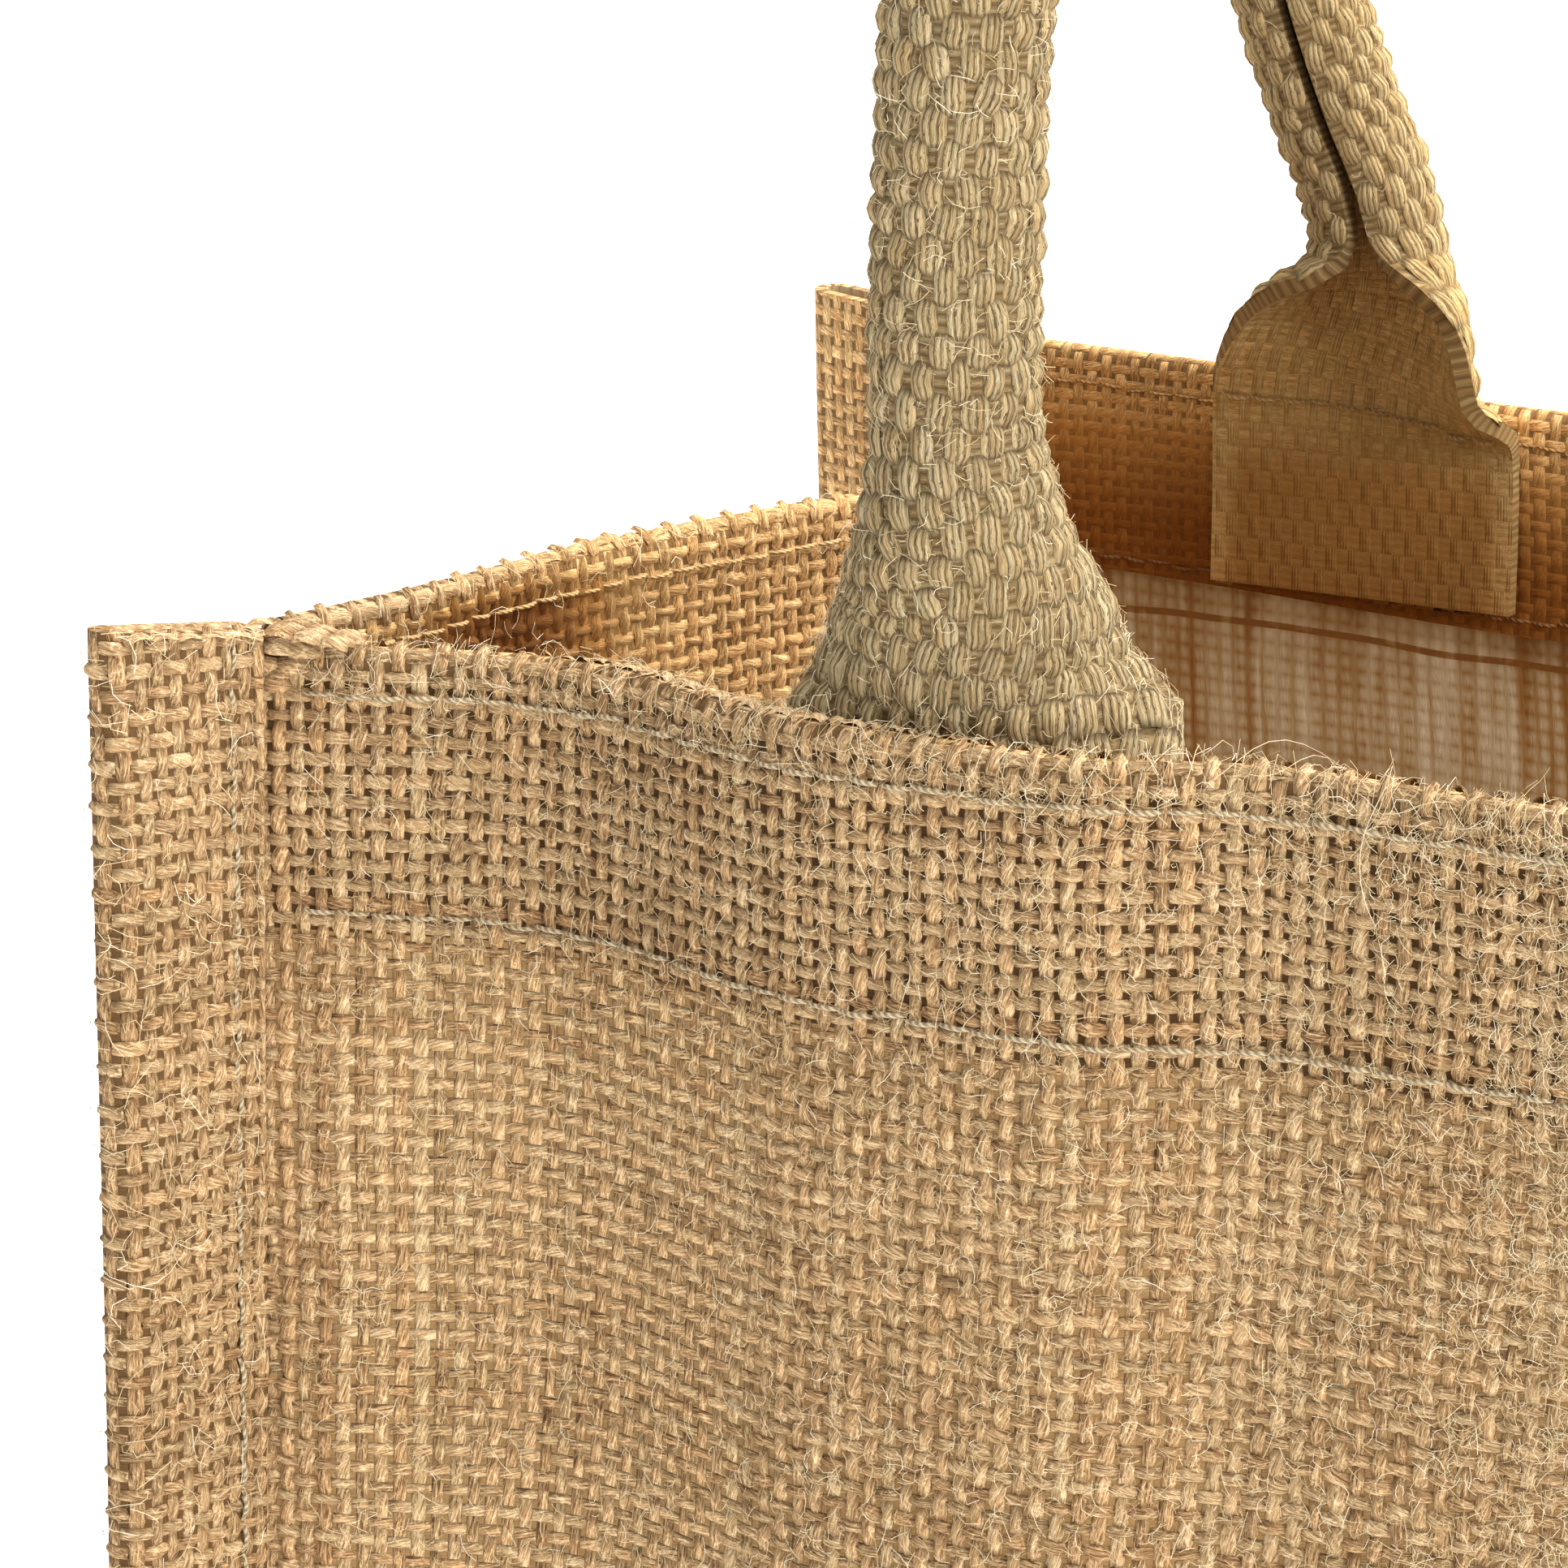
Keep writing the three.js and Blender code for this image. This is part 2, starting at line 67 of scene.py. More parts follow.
# Distance from the left corner, how far the rim stands out there, and how far it sags
FRONT_RIM = np.array([
    (0, 0, 0), (12, -2.2, 0), (24, -4.4, 0), (35, -2.6, 0), (46, 2.8, 0), (56, 7.4, 0),
    (68, 9.5, 0), (82, 11.2, 0), (97, 7.4, 0.1), (111, 8.4, 0.4), (150, 10, 1.4),
    (200, 11, 1.8), (236, 6, 1), (262, -1, 0.4), (280, -3, 0), (300, 0, 0)])
BACK_RIM = np.array([
    (0, 0, 0), (16, -1, 0.5), (40, -5, 1), (75, -10, 2.4), (110, -12, 3), (160, -11, 3.2),
    (220, -8, 2.2), (270, -3, 0.6), (300, 0, 0)])
# Height, the share of the rim's waves left there, the belly, and the corner flanges' turn
PANEL_HEIGHTS = np.array([
    (0, 0, 0, 0.72), (20, 0.1, 1, 0.78), (80, 0.4, 4, 0.92), (150, 0.68, 5, 1.05),
    (225, 0.9, 3, 1.1), (300, 1, 0, 1)])
# The corner flanges' angles and how far their outer edge stands above the rim
CORNER_FLANGES = {(-1, -1): (60, 2.0), (-1, 1): (23, 0.8), (1, -1): (52, 1.6), (1, 1): (40, 1.2)}


def column(table, k, place):
    """Reads column k of a table as a smooth function of its first column."""
    knots, values = table[:, 0], table[:, k]
    place = np.asarray(place, float)
    last = len(knots) - 1
    i = np.clip(np.searchsorted(knots, place, side="right"), 1, last)
    before = np.where(i >= 2, i - 2, i)
    after = np.where(i + 1 <= last, i + 1, i - 1)
    half = (knots[i] - knots[i - 1]) / 2
    w_before = half / np.where(i >= 2, knots[i - 1] - knots[before], knots[i - 1] - knots[i])
    w_after = half / np.where(i + 1 <= last, knots[after] - knots[i], knots[i - 1] - knots[i])
    p = (np.clip(place, knots[0], knots[-1]) - knots[i - 1]) / (knots[i] - knots[i - 1])
    return (values[before] * (-w_before * p**3 + 2 * w_before * p**2 - w_before * p)
            + values[i - 1] * ((1 + w_before) * p**3 - (1.5 + 2 * w_before) * p**2
                               + (w_before - 0.5) * p + 1)
            + values[i] * (-(1 + w_after) * p**3 + (1.5 + w_after) * p**2 + 0.5 * p)
            + values[after] * (w_after * p**3 - w_after * p**2))


def eased(value, low, high):
    share = np.clip((value - low) / (high - low), 0, 1)
    return share * share * (3 - 2 * share)


def unit(vectors):
    vectors = np.asarray(vectors, float)
    return vectors / np.maximum(np.linalg.norm(vectors, axis=-1, keepdims=True), 1e-9)


def fold_depth(z):
    return GUSSET_FOLD * (np.maximum(z, 0) / HEIGHT) ** 0.75


def base_lift(x):
    return BASE_LIFT * eased(np.abs(x), HALF_WIDTH - 22, HALF_WIDTH)


def panel_point(end, x, level):
    """A place on the front (end -1) or the back (end 1), at a height along the cloth."""
    rim = FRONT_RIM if end < 0 else BACK_RIM
    from_left = x + HALF_WIDTH
    belly = column(PANEL_HEIGHTS, 2, level) * np.sin(np.pi * from_left / WIDTH)
    waves = column(rim, 1, from_left) * column(PANEL_HEIGHTS, 1, level)
    y = end * (np.sqrt(HALF_BASE**2 - fold_depth(level) ** 2) + waves + belly)
    lift = base_lift(x) * (1 - eased(level, BASE_RADIUS, HEIGHT / 4))
    z = level - column(rim, 2, from_left) * (level / HEIGHT) ** 3 + lift
    return np.stack([x + 0 * y, y, z], -1)


def panel_outward(end, x, level):
    before = panel_point(end, np.maximum(x - 1, -HALF_WIDTH), level)
    after = panel_point(end, np.minimum(x + 1, HALF_WIDTH), level)
    along = (after - before) * (1, 1, 0)
    return unit(np.stack([-along[..., 1], along[..., 0], 0 * x], -1)) * end


# The strip's stations from the front rim, under the base, to the back rim: the end, and there the
# height, the share of the bend or the place on the base
LEVELS = np.append(np.linspace(FOLD_CENTRE, 12, 62), [9, BASE_RADIUS + CLOTH / 2])
BENDS = (0.2, 0.4, 0.6, 0.8)
BASE_YS = np.linspace(-HALF_BASE + BASE_RADIUS, HALF_BASE - BASE_RADIUS, 26)
STATIONS = ([(-1, level, None) for level in LEVELS] + [(-1, None, bend) for bend in BENDS]
            + [(0, None, y) for y in BASE_YS] + [(1, None, bend) for bend in BENDS[::-1]]
            + [(1, level, None) for level in LEVELS[::-1]])


def strip_row(station, x):
    end, level, place = station
    if level is not None:
        return panel_point(end, x, level)
    floor = CLOTH / 2 + base_lift(x)
    if end:
        angle = np.pi / 2 * place
        y = end * (HALF_BASE - BASE_RADIUS * (1 - math.cos(angle)))
        return np.stack([x, y + 0 * x, floor + BASE_RADIUS * (1 - math.sin(angle))], -1)
    return np.stack([x, place + 0 * x, floor], -1)


def near_base(level):
    return 1 - eased(level or 0, BASE_RADIUS, 40)


def bend_ease(station):
    """How much further apart the seam's layers lie where the strip bends to the base."""
    return 1.1 * near_base(station[1]) if station[0] else 0.0


def flange_direction(station, side):
    """Where the seam's flange points: aslant at the corners, and nearly level under the base."""
    slope = math.radians(7)
    sideways = np.array([side * math.cos(slope), 0, math.sin(slope)])
    end, level, bend = station
    if end == 0:
        return sideways
    angle = math.radians(CORNER_FLANGES[(side, end)][0] * column(PANEL_HEIGHTS, 3, level or 0))
    upright = np.array([side * math.cos(angle), end * math.sin(angle), 0])
    early = 0.3 * near_base(level)
    share = early + (1 - early) * (bend or 0)
    return unit(upright * (1 - share) + sideways * share)


def new_object(name, data):
    made = bpy.data.objects.new(name, data)
    bpy.context.scene.collection.objects.link(made)
    return made


def quads(numbers):
    """Four-sided faces over a grid of point numbers."""
    return np.stack([numbers[:-1, :-1], numbers[1:, :-1], numbers[1:, 1:], numbers[:-1, 1:]],
                    -1).reshape(-1, 4)


class Cloth:
    """A sheet of four-sided faces: where its points are, and where they lie on the flat cloth."""

    def __init__(self):
        self.points, self.flat, self.faces = [], [], []

    def add(self, points, across, along):
        shape = points.shape[:-1]
        first = sum(len(part) for part in self.points)
        self.points.append(points.reshape(-1, 3))
        self.flat.append(np.stack([np.broadcast_to(values, shape).ravel()
                                   for values in (across, along)], -1))
        return first + np.arange(math.prod(shape)).reshape(shape)

    def weave(self, rows):
        self.faces.append(quads(rows))

    def piece(self, name, thickness, materials, flip=False):
        """Gives the sheet its thickness and makes the object: its face, its back and its edges."""
        points, flat = np.concatenate(self.points), np.concatenate(self.flat)
        faces = np.concatenate(self.faces)
        if flip:
            faces = faces[:, ::-1]
        corner = points[faces]
        normal = unit(np.cross(corner[:, 2] - corner[:, 0], corner[:, 3] - corner[:, 1]))
        total = np.zeros_like(points)
        for k in range(4):
            np.add.at(total, faces[:, k], normal)
        total = unit(total)
        least = np.ones(len(points))
        for k in range(4):
            np.minimum.at(least, faces[:, k], (normal * total[faces[:, k]]).sum(1))
        offset = total * (thickness / 2 / np.maximum(least, 0.7))[:, None]
        count = len(points)
        directed = np.concatenate([faces[:, [k, (k + 1) % 4]] for k in range(4)]).tolist()
        known = set(map(tuple, directed))
        edge = np.array([e for e in directed if (e[1], e[0]) not in known])
        border = np.stack([edge[:, 1], edge[:, 0], edge[:, 0] + count, edge[:, 1] + count], -1)
        every = np.concatenate([faces, faces[:, ::-1] + count, border])
        mesh = bpy.data.meshes.new(name)
        solid = np.concatenate([points + offset, points - offset]) - FOOTPRINT_MIDDLE
        mesh.from_pydata((solid / 1000).tolist(), [], every.tolist())
        both = np.concatenate([flat, flat])[every.ravel()]
        mesh.uv_layers.new(name="cloth").data.foreach_set("uv", both.astype(np.float32).ravel())
        slots = np.zeros(len(every), np.int32)
        slots[len(faces):2 * len(faces)] = len(materials) - 1
        mesh.polygons.foreach_set("material_index", slots)
        for material in materials:
            mesh.materials.append(material)
        mesh.polygons.foreach_set("use_smooth", np.ones(len(every), bool))
        mesh.set_sharp_from_angle(angle=math.radians(60))
        return new_object(name, mesh)


def mark(cloth, shapes, depths, painted_insides):
    """Writes how far each point lies from the rim, in millimetres, and its share of painted
    inside light and shade.
    """
    for label, parts in (("depth", depths), ("inside", painted_insides)):
        values = np.concatenate([np.broadcast_to(part, shape).ravel()
                                 for part, shape in zip(parts, shapes)])
        cloth.data.attributes.new(label, "FLOAT", "POINT").data.foreach_set(
            "value", np.tile(values, 2).astype(np.float32))


def wander(across, along, seed):
    """How far the threads stray from an even grid, in threads."""
    random = np.random.default_rng(seed)
    total = 0.0
    for wave in (17, 26, 41, 67, 110):
        turn, phase = random.uniform(0, 2 * np.pi, 2)
        total = total + wave / 430 * np.sin(
            2 * np.pi * (across * np.cos(turn) + along * np.sin(turn)) / wave + phase)
    return total


def threads(across, along):
    """From millimetres on the flat cloth to thread numbers."""
    return (across / THREAD_PITCH + wander(across, along, 3),
            along / THREAD_PITCH + wander(across, along, 8))


def colour(code):
    """An sRGB hex code as linear red, green, blue and alpha."""
    parts = [int(code[k:k + 2], 16) / 255 for k in (1, 3, 5)]
    return [c / 12.92 if c <= 0.04045 else ((c + 0.055) / 1.055) ** 2.4 for c in parts] + [1.0]


CHOICES = {"Math": "operation", "VectorMath": "operation", "Mix": "data_type", "UVMap": "uv_map",
           "Attribute": "attribute_name", "MapRange": "interpolation_type",
           "TexNoise": "noise_dimensions", "TexWhiteNoise": "noise_dimensions"}


def add(tree, kind, *values, stops=(), **settings):
    """Adds a node with its settings and links, or sets up one that is there already. The kind can
    name the node's main choice after a dot; one in capitals is an operation of a Math node. values
    are the inputs in order. settings are properties, and with a capital further inputs. A value is
    a number, a hex code, a node, one of its outputs, or a tuple that describes a node to add."""
    node = kind
    if isinstance(kind, str):
        kind, _, choice = (f"Math.{kind}" if kind.isupper() else kind).partition(".")
        node = tree.nodes.new(kind if "Node" in kind else f"ShaderNode{kind}")
        if choice:
            setattr(node, CHOICES[kind], choice)
    named = []
    for key, value in settings.items():
        if key[0].isupper():
            named.append((node.inputs[key.replace("_", " ")], value))
        else:
            setattr(node, key, value)
    for socket, value in [*zip([s for s in node.inputs if s.enabled], values), *named]:
        if isinstance(value, tuple) and isinstance(value[0], str):
            value = add(tree, *value)
        if isinstance(value, bpy.types.Node):
            value = (value.outputs.get("Fac")
                     or next(output for output in value.outputs if output.enabled))
        if isinstance(value, bpy.types.NodeSocket):
            tree.links.new(value, socket)
        else:
            socket.default_value = colour(value) if str(value).startswith("#") else value
    points = node.color_ramp.elements if stops else ()
    while len(points) < len(stops):
        points.new(0.5)
    for point, (place, code) in zip(points, stops):
        point.position = place
        point.color = colour(code)
    return node


def new_material(name):
    material = bpy.data.materials.new(name)
    material.use_nodes = True
    return material, material.node_tree, material.node_tree.nodes["Principled BSDF"]


def fibre_look(tree, strand, along, across, stops):
    """Colour and relief of one jute yarn: its own shade, patches along it and fine fibres.
    strand is the yarn's number, along and across are in thread pitches."""
    own = add(tree, "TexWhiteNoise.1D", strand)
    place = ("CombineXYZ", ("MULTIPLY", along, 0.35), ("MULTIPLY", strand, 3.71), 0.0)
    patch = add(tree, "TexNoise", place, Scale=1.0, Detail=3.0, Roughness=0.6)
    # The yarn's twist lays its bast fibres aslant, and they show a tenth of a millimetre apart
    twist = ("ADD", 0.06, ("MULTIPLY", own, 0.3))
    slant = ("ADD", across, ("MULTIPLY", along, twist))
    place = ("CombineXYZ", ("MULTIPLY", along, 1.1), ("MULTIPLY", slant, 10.0),
             ("MULTIPLY", strand, 5.3))
    streak = add(tree, "TexNoise", place, Scale=1.0, Detail=3.0, Roughness=0.7)
    # Single fibres have come loose and lie across the yarn
    place = ("CombineXYZ", ("MULTIPLY", along, 1.5), ("MULTIPLY", across, 2.2),
             ("MULTIPLY", strand, 7.7))
    stray = add(tree, "TexNoise", place, Scale=1.0, Detail=1.0, Distortion=0.8)
    stray = add(tree, "LESS_THAN", ("ABSOLUTE", ("SUBTRACT", stray, 0.5)), 0.028)
    tone = ("ADD", ("MULTIPLY", own, 0.26), ("MULTIPLY", patch, 0.42))
    tone = ("ADD", ("ADD", tone, ("MULTIPLY", ("SUBTRACT", streak, 0.5), 2.6)), 0.17)
    shade = add(tree, "ValToRGB", ("ADD", tone, ("MULTIPLY", stray, 0.28)), stops=stops)
    # Yarns lean a little to green, yellow or pink
    hue = ("TexWhiteNoise.1D", ("ADD", strand, 0.37))
    lean = ("ADD", ("MULTIPLY", hue, 0.75), ("MULTIPLY", ("SUBTRACT", patch, 0.35), 0.6))
    tint = add(tree, "ValToRGB", lean, stops=[
        (0.0, "#f7f3e2"), (0.3, "#fcf7ea"), (0.6, "#fff4e2"), (0.85, "#fff1dd"), (1.0, "#ffead0")])
    return (add(tree, "Mix.RGBA", 1.0, shade, tint, blend_type="MULTIPLY"),
            add(tree, "ADD", streak, ("MULTIPLY", stray, 0.35)))


def inside_light(tree, base):
    """Painted light and shade inside the bag, where much of the light has come through jute: golden
    at the rim, orange brown further down. The attribute "inside" goes from 0 to 1 as the share of
    this painted light and shade; the weave also shows less there."""
    inside = add(tree, "Attribute.inside")
    share = ("MINIMUM", ("MULTIPLY", inside, 1.4), 0.74)
    tint = add(tree, "ValToRGB", inside, stops=[
        (0.0, "#d4d4d4"), (0.1, "#f2e8d4"), (0.3, "#f4e8cc"), (0.5, "#d6b482"), (0.8, "#a2743a"),
        (1.0, "#7c5632")])
    painted_warm_shade = add(tree, "Mix.RGBA", 1.0, ("Mix.RGBA", share, base, "#a08a68"), tint,
               blend_type="MULTIPLY")
    return add(tree, "VectorMath.SCALE", painted_warm_shade, Scale=1.53)


# The colours of a yarn from its deepest shade to its brightest fibre
YARN_STOPS = [(0.0, "#5a4129"), (0.25, "#8f6f4f"), (0.5, "#b99a74"), (0.75, "#d9bb93"),
              (1.0, "#f8e0bd")]
# Wefts are numbered from here, so that they don't look like the warps
WEFT_START = 500


def woven_cloth(name):
    """Coarse plain-woven jute drawn on a sheet: warp and weft yarns of uneven width go over and
    under each other, and between them the ground shows. The pattern reads the cloth's own UV map,
    which is in yarns: 1.8 mm each."""
    material, tree, shader = new_material(name)
    u, v, _ = add(tree, "SeparateXYZ", ("UVMap.cloth",)).outputs
    warp, weft = add(tree, "FLOOR", u), add(tree, "FLOOR", v)
    beside_warp, beside_weft = (add(tree, "SUBTRACT", ("SUBTRACT", place, number), 0.5)
                                for place, number in ((u, warp), (v, weft)))
    parity = ("FLOORED_MODULO", ("ADD", warp, weft), 2.0)
    over = add(tree, "SUBTRACT", 1.0, ("MULTIPLY", parity, 2.0))
    heights, looks, reliefs = [], [], []
    for strand, across, along, centre, sign, least_half in (
            (warp, beside_warp, v, beside_weft, 1.0, 0.32),
            (add(tree, "ADD", weft, float(WEFT_START)), beside_weft, u, beside_warp, -1.0, 0.26)):
        half = ("ADD", least_half, ("MULTIPLY", ("TexWhiteNoise.1D", strand), 0.08))
        crimp = ("MULTIPLY", ("COSINE", ("MULTIPLY", centre, np.pi)), ("MULTIPLY", over, sign))
        from_middle = add(tree, "DIVIDE", across, half)
        lens = add(tree, "SUBTRACT", 1.0, ("MULTIPLY", from_middle, from_middle))
        bulge = ("SQRT", ("MAXIMUM", lens, 0.0))
        height = ("ADD", ("MULTIPLY", crimp, 0.3), ("MULTIPLY", bulge, 0.4))
        on_yarn = ("GREATER_THAN", lens, 0.0)
        heights.append(add(tree, "SUBTRACT", ("MULTIPLY", ("ADD", height, 2.0), on_yarn), 2.0))
        look, relief = fibre_look(tree, strand, along, across, YARN_STOPS)
        looks.insert(0, look)
        reliefs.insert(0, relief)
    warp_top = add(tree, "GREATER_THAN", *heights)
    top = add(tree, "MAXIMUM", *heights)
    covered = add(tree, "MapRange.SMOOTHSTEP", top, -0.15, 0.3, 0.0, 1.0)
    # Between the yarns: a painted shadow of the lower layer in the hems, less of it in the folds,
    # and the laminate elsewhere
    depth = add(tree, "Attribute.depth")
    folded = ("Mix.RGBA", ("LESS_THAN", depth, 2.0), "#4a3216", "#684c2c")
    ground = ("Mix.RGBA", ("LESS_THAN", depth, HEM), "#9c7a4e", folded)
    base = add(tree, "Mix.RGBA", covered, ground, ("Mix.RGBA", warp_top, *looks))
    level = ("ADD", ("MAXIMUM", top, -0.25), ("MULTIPLY", ("Mix.RGBA", warp_top, *reliefs), 0.16))
    strength = ("SUBTRACT", 1.0, ("MINIMUM", ("MULTIPLY", ("Attribute.inside",), 1.6), 0.7))
    bump = add(tree, "Bump", Height=level, Strength=strength, Distance=THREAD_PITCH / 1000)
    add(tree, shader, Base_Color=inside_light(tree, base), Normal=bump, Roughness=0.9,
        Specular_IOR_Level=0.2)
    return material


jute = woven_cloth("jute_plain_weave_laminated")

# Thin clear film laminated to the cloth's back: the brown yarns show through it, whitish where it
# has let go. Brown warp yarns and bands of them run down the cloth, and a few thick wefts across
film, tree, shader = new_material("clear_film_on_jute")
uv = add(tree, "UVMap.cloth")
u, v, _ = add(tree, "SeparateXYZ", uv).outputs
band, let_go = (add(tree, "TexNoise", add(tree, "Mapping", uv, Scale=(*scale, 1.0)), Scale=1.0,
                    Detail=detail, Roughness=0.75)
                for scale, detail in (((0.22, 0.008), 4.0), ((0.5, 0.09), 5.0)))
dots = ("ABSOLUTE", ("MULTIPLY", ("SINE", ("MULTIPLY", u, np.pi)),
                     ("SINE", ("MULTIPLY", v, np.pi))))
thick = ("MULTIPLY", ("GREATER_THAN", ("TexWhiteNoise.1D", ("FLOOR", v)), 0.97), 0.1)
# The film stands off in a fold below the hem's edge, and a patchy line of painted shade is drawn
# under it
sag = ("MULTIPLY", add(tree, "TexNoise.1D", u, Scale=0.05), 3.0)
off = ("SUBTRACT", add(tree, "Attribute.depth"), ("ADD", HEM + 2.4, sag))
fold_painted_shade = ("MULTIPLY", add(tree, "TexNoise.1D", u, Scale=0.45), 0.7)
thick = ("MAXIMUM", thick, ("MULTIPLY", ("LESS_THAN", ("ABSOLUTE", off), 0.4), fold_painted_shade))
tone = ("ADD", ("MULTIPLY", band, 1.5), ("MULTIPLY", let_go, 0.8))
tone = ("ADD", tone, ("SUBTRACT", ("MULTIPLY", dots, 0.2), thick))
base = add(tree, "ValToRGB", ("SUBTRACT", tone, 0.68), stops=[
    (0.25, "#8c5a20"), (0.4, "#a27846"), (0.52, "#b4966e"), (0.66, "#c6b292"), (0.85, "#e0d2b8")])
bump = add(tree, "Bump", Height=let_go, Strength=0.6, Distance=0.0006)
add(tree, shader, Base_Color=base, Normal=bump, Roughness=0.5)

strip_across = np.concatenate([[-HALF_WIDTH], np.linspace(-HALF_WIDTH + 5, HALF_WIDTH - 5, 80),
                               [HALF_WIDTH]])
strip_points = np.array([strip_row(station, strip_across) for station in STATIONS])
middle = strip_points[:, len(strip_across) // 2]
steps = np.linalg.norm(np.diff(middle, axis=0), axis=1)
strip_along = np.append(0, np.cumsum(steps)) + FOLD_RUN / 2
strip_length = strip_along[-1] + FOLD_RUN / 2
FOLD_TURNS = np.radians([25, 50, 75, 105, 130, 155])
HEM_DROPS = np.linspace(0, FOLD_CENTRE - HEIGHT + HEM, 9)
HEM_ALONG = -np.append(FOLD_TURNS / np.pi * FOLD_RUN - FOLD_RUN / 2, FOLD_RUN / 2 + HEM_DROPS)
UP = np.array([0, 0, 1.0])


def hem_layer(rim, inward):
    """A hem's points: over the fold, then down on the inside."""
    return np.array([rim + inward * FOLD_RADIUS * (1 - np.cos(turn))
                     + UP * FOLD_RADIUS * np.sin(turn) for turn in FOLD_TURNS]
                    + [rim + inward * LAYER - UP * drop for drop in HEM_DROPS])


body_sheet = Cloth()
edges = [np.array([[row[first] + flange_direction(station, side) * reach
                    * (WRAP_CENTRE - bend_ease(station)) for reach in reaches]
                   for station, row in zip(STATIONS, strip_points)])
         for side, first, reaches in ((-1, 0, (1.0, 0.5)), (1, -1, (0.5, 1.0)))]
main_points = np.concatenate([edges[0], strip_points, edges[1]], 1)
beyond = HALF_WIDTH + np.array([SEAM_ALLOWANCE / 2, SEAM_ALLOWANCE])
main_across = np.concatenate([-beyond[::-1], strip_across, beyond])
main_rows = body_sheet.add(main_points, *threads(main_across[None], strip_along[:, None]))
body_sheet.weave(main_rows)
hem_across = strip_across[1:-1]
hem_grids = {}
for end in (-1, 1):
    row = 0 if end < 0 else -1
    points = hem_layer(main_points[row, 3:-3], -panel_outward(end, hem_across, FOLD_CENTRE))
    along = HEM_ALONG if end < 0 else strip_length - HEM_ALONG
    rows = body_sheet.add(points, *threads(hem_across[None], along[:, None]))
    rows = np.concatenate([main_rows[row, 3:-3][None], rows])
    body_sheet.weave(rows[::-1] if end < 0 else rows)
    hem_grids[end] = (points, along)
body_cloth = body_sheet.piece("body_cloth", SHELL, [jute, film])
edge_distance = np.minimum(strip_along, strip_length - strip_along)
# Painted shade down the hems' inside: none at the rim, more further down
hem_painted_inside = np.interp(-HEM_ALONG, [-0.5, 0.5, 5, 9, 18], [0, 0.15, 0.3, 0.5, 0.8])
hem_shape = points.shape[:2]
mark(body_cloth, (main_points.shape[:2], hem_shape, hem_shape),
     (edge_distance[:, None], -HEM_ALONG[:, None], -HEM_ALONG[:, None]),
     (0.0, hem_painted_inside[:, None], hem_painted_inside[:, None]))
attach(body_cloth, "root")
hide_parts("body")


# ---------------------------------------------------------------------------------------------
# Side gussets: the same cloth, creased inwards along the middle, hemmed at the mouth, and wrapped
# round the strip's edges, where a lockstitch holds the layers as a flange at every corner.
GUSSET_PLAN = np.array([(0, 0), (0.23, 0.2), (0.38, 0.3), (0.55, 0.43), (0.71, 0.6), (0.88, 0.8),
                        (1, 1)])
GUSSET_RISE = 1.5
CREST_START = 288.0
WRAP_EASE = 0.1
# The wrap's layer on the body's face comes back to the seam and ends tucked beside the corner
WRAP_END = 1.3
WRAP_TUCK = 1.9
WRAP_TURNS = np.radians([22, 45, 68, 90, 112, 135, 158])
# Places across the sides' cloth count from here, so that their yarns differ from the body's
SIDE_START = 700.0
# Where the painted shadow band lies across a gusset's hem, and how wide it is
SHADE_PLACE, SHADE_SPREAD = 731, 16
side_jute = woven_cloth("jute_plain_weave_sides")


def side_painted_inside(across, along):
    """A gusset's hem as its share of painted inside light and shade: a little painted light from
    near the front corner on, and a painted shadow band near the front.
    """
    shaded = np.exp(-((across - SHADE_PLACE) / SHADE_SPREAD) ** 2) * eased(-along, 0.8, 3.5)
    return eased(-along, -1, 1) * (0.1 * eased(across, 714, 744) + 0.78 * shaded)


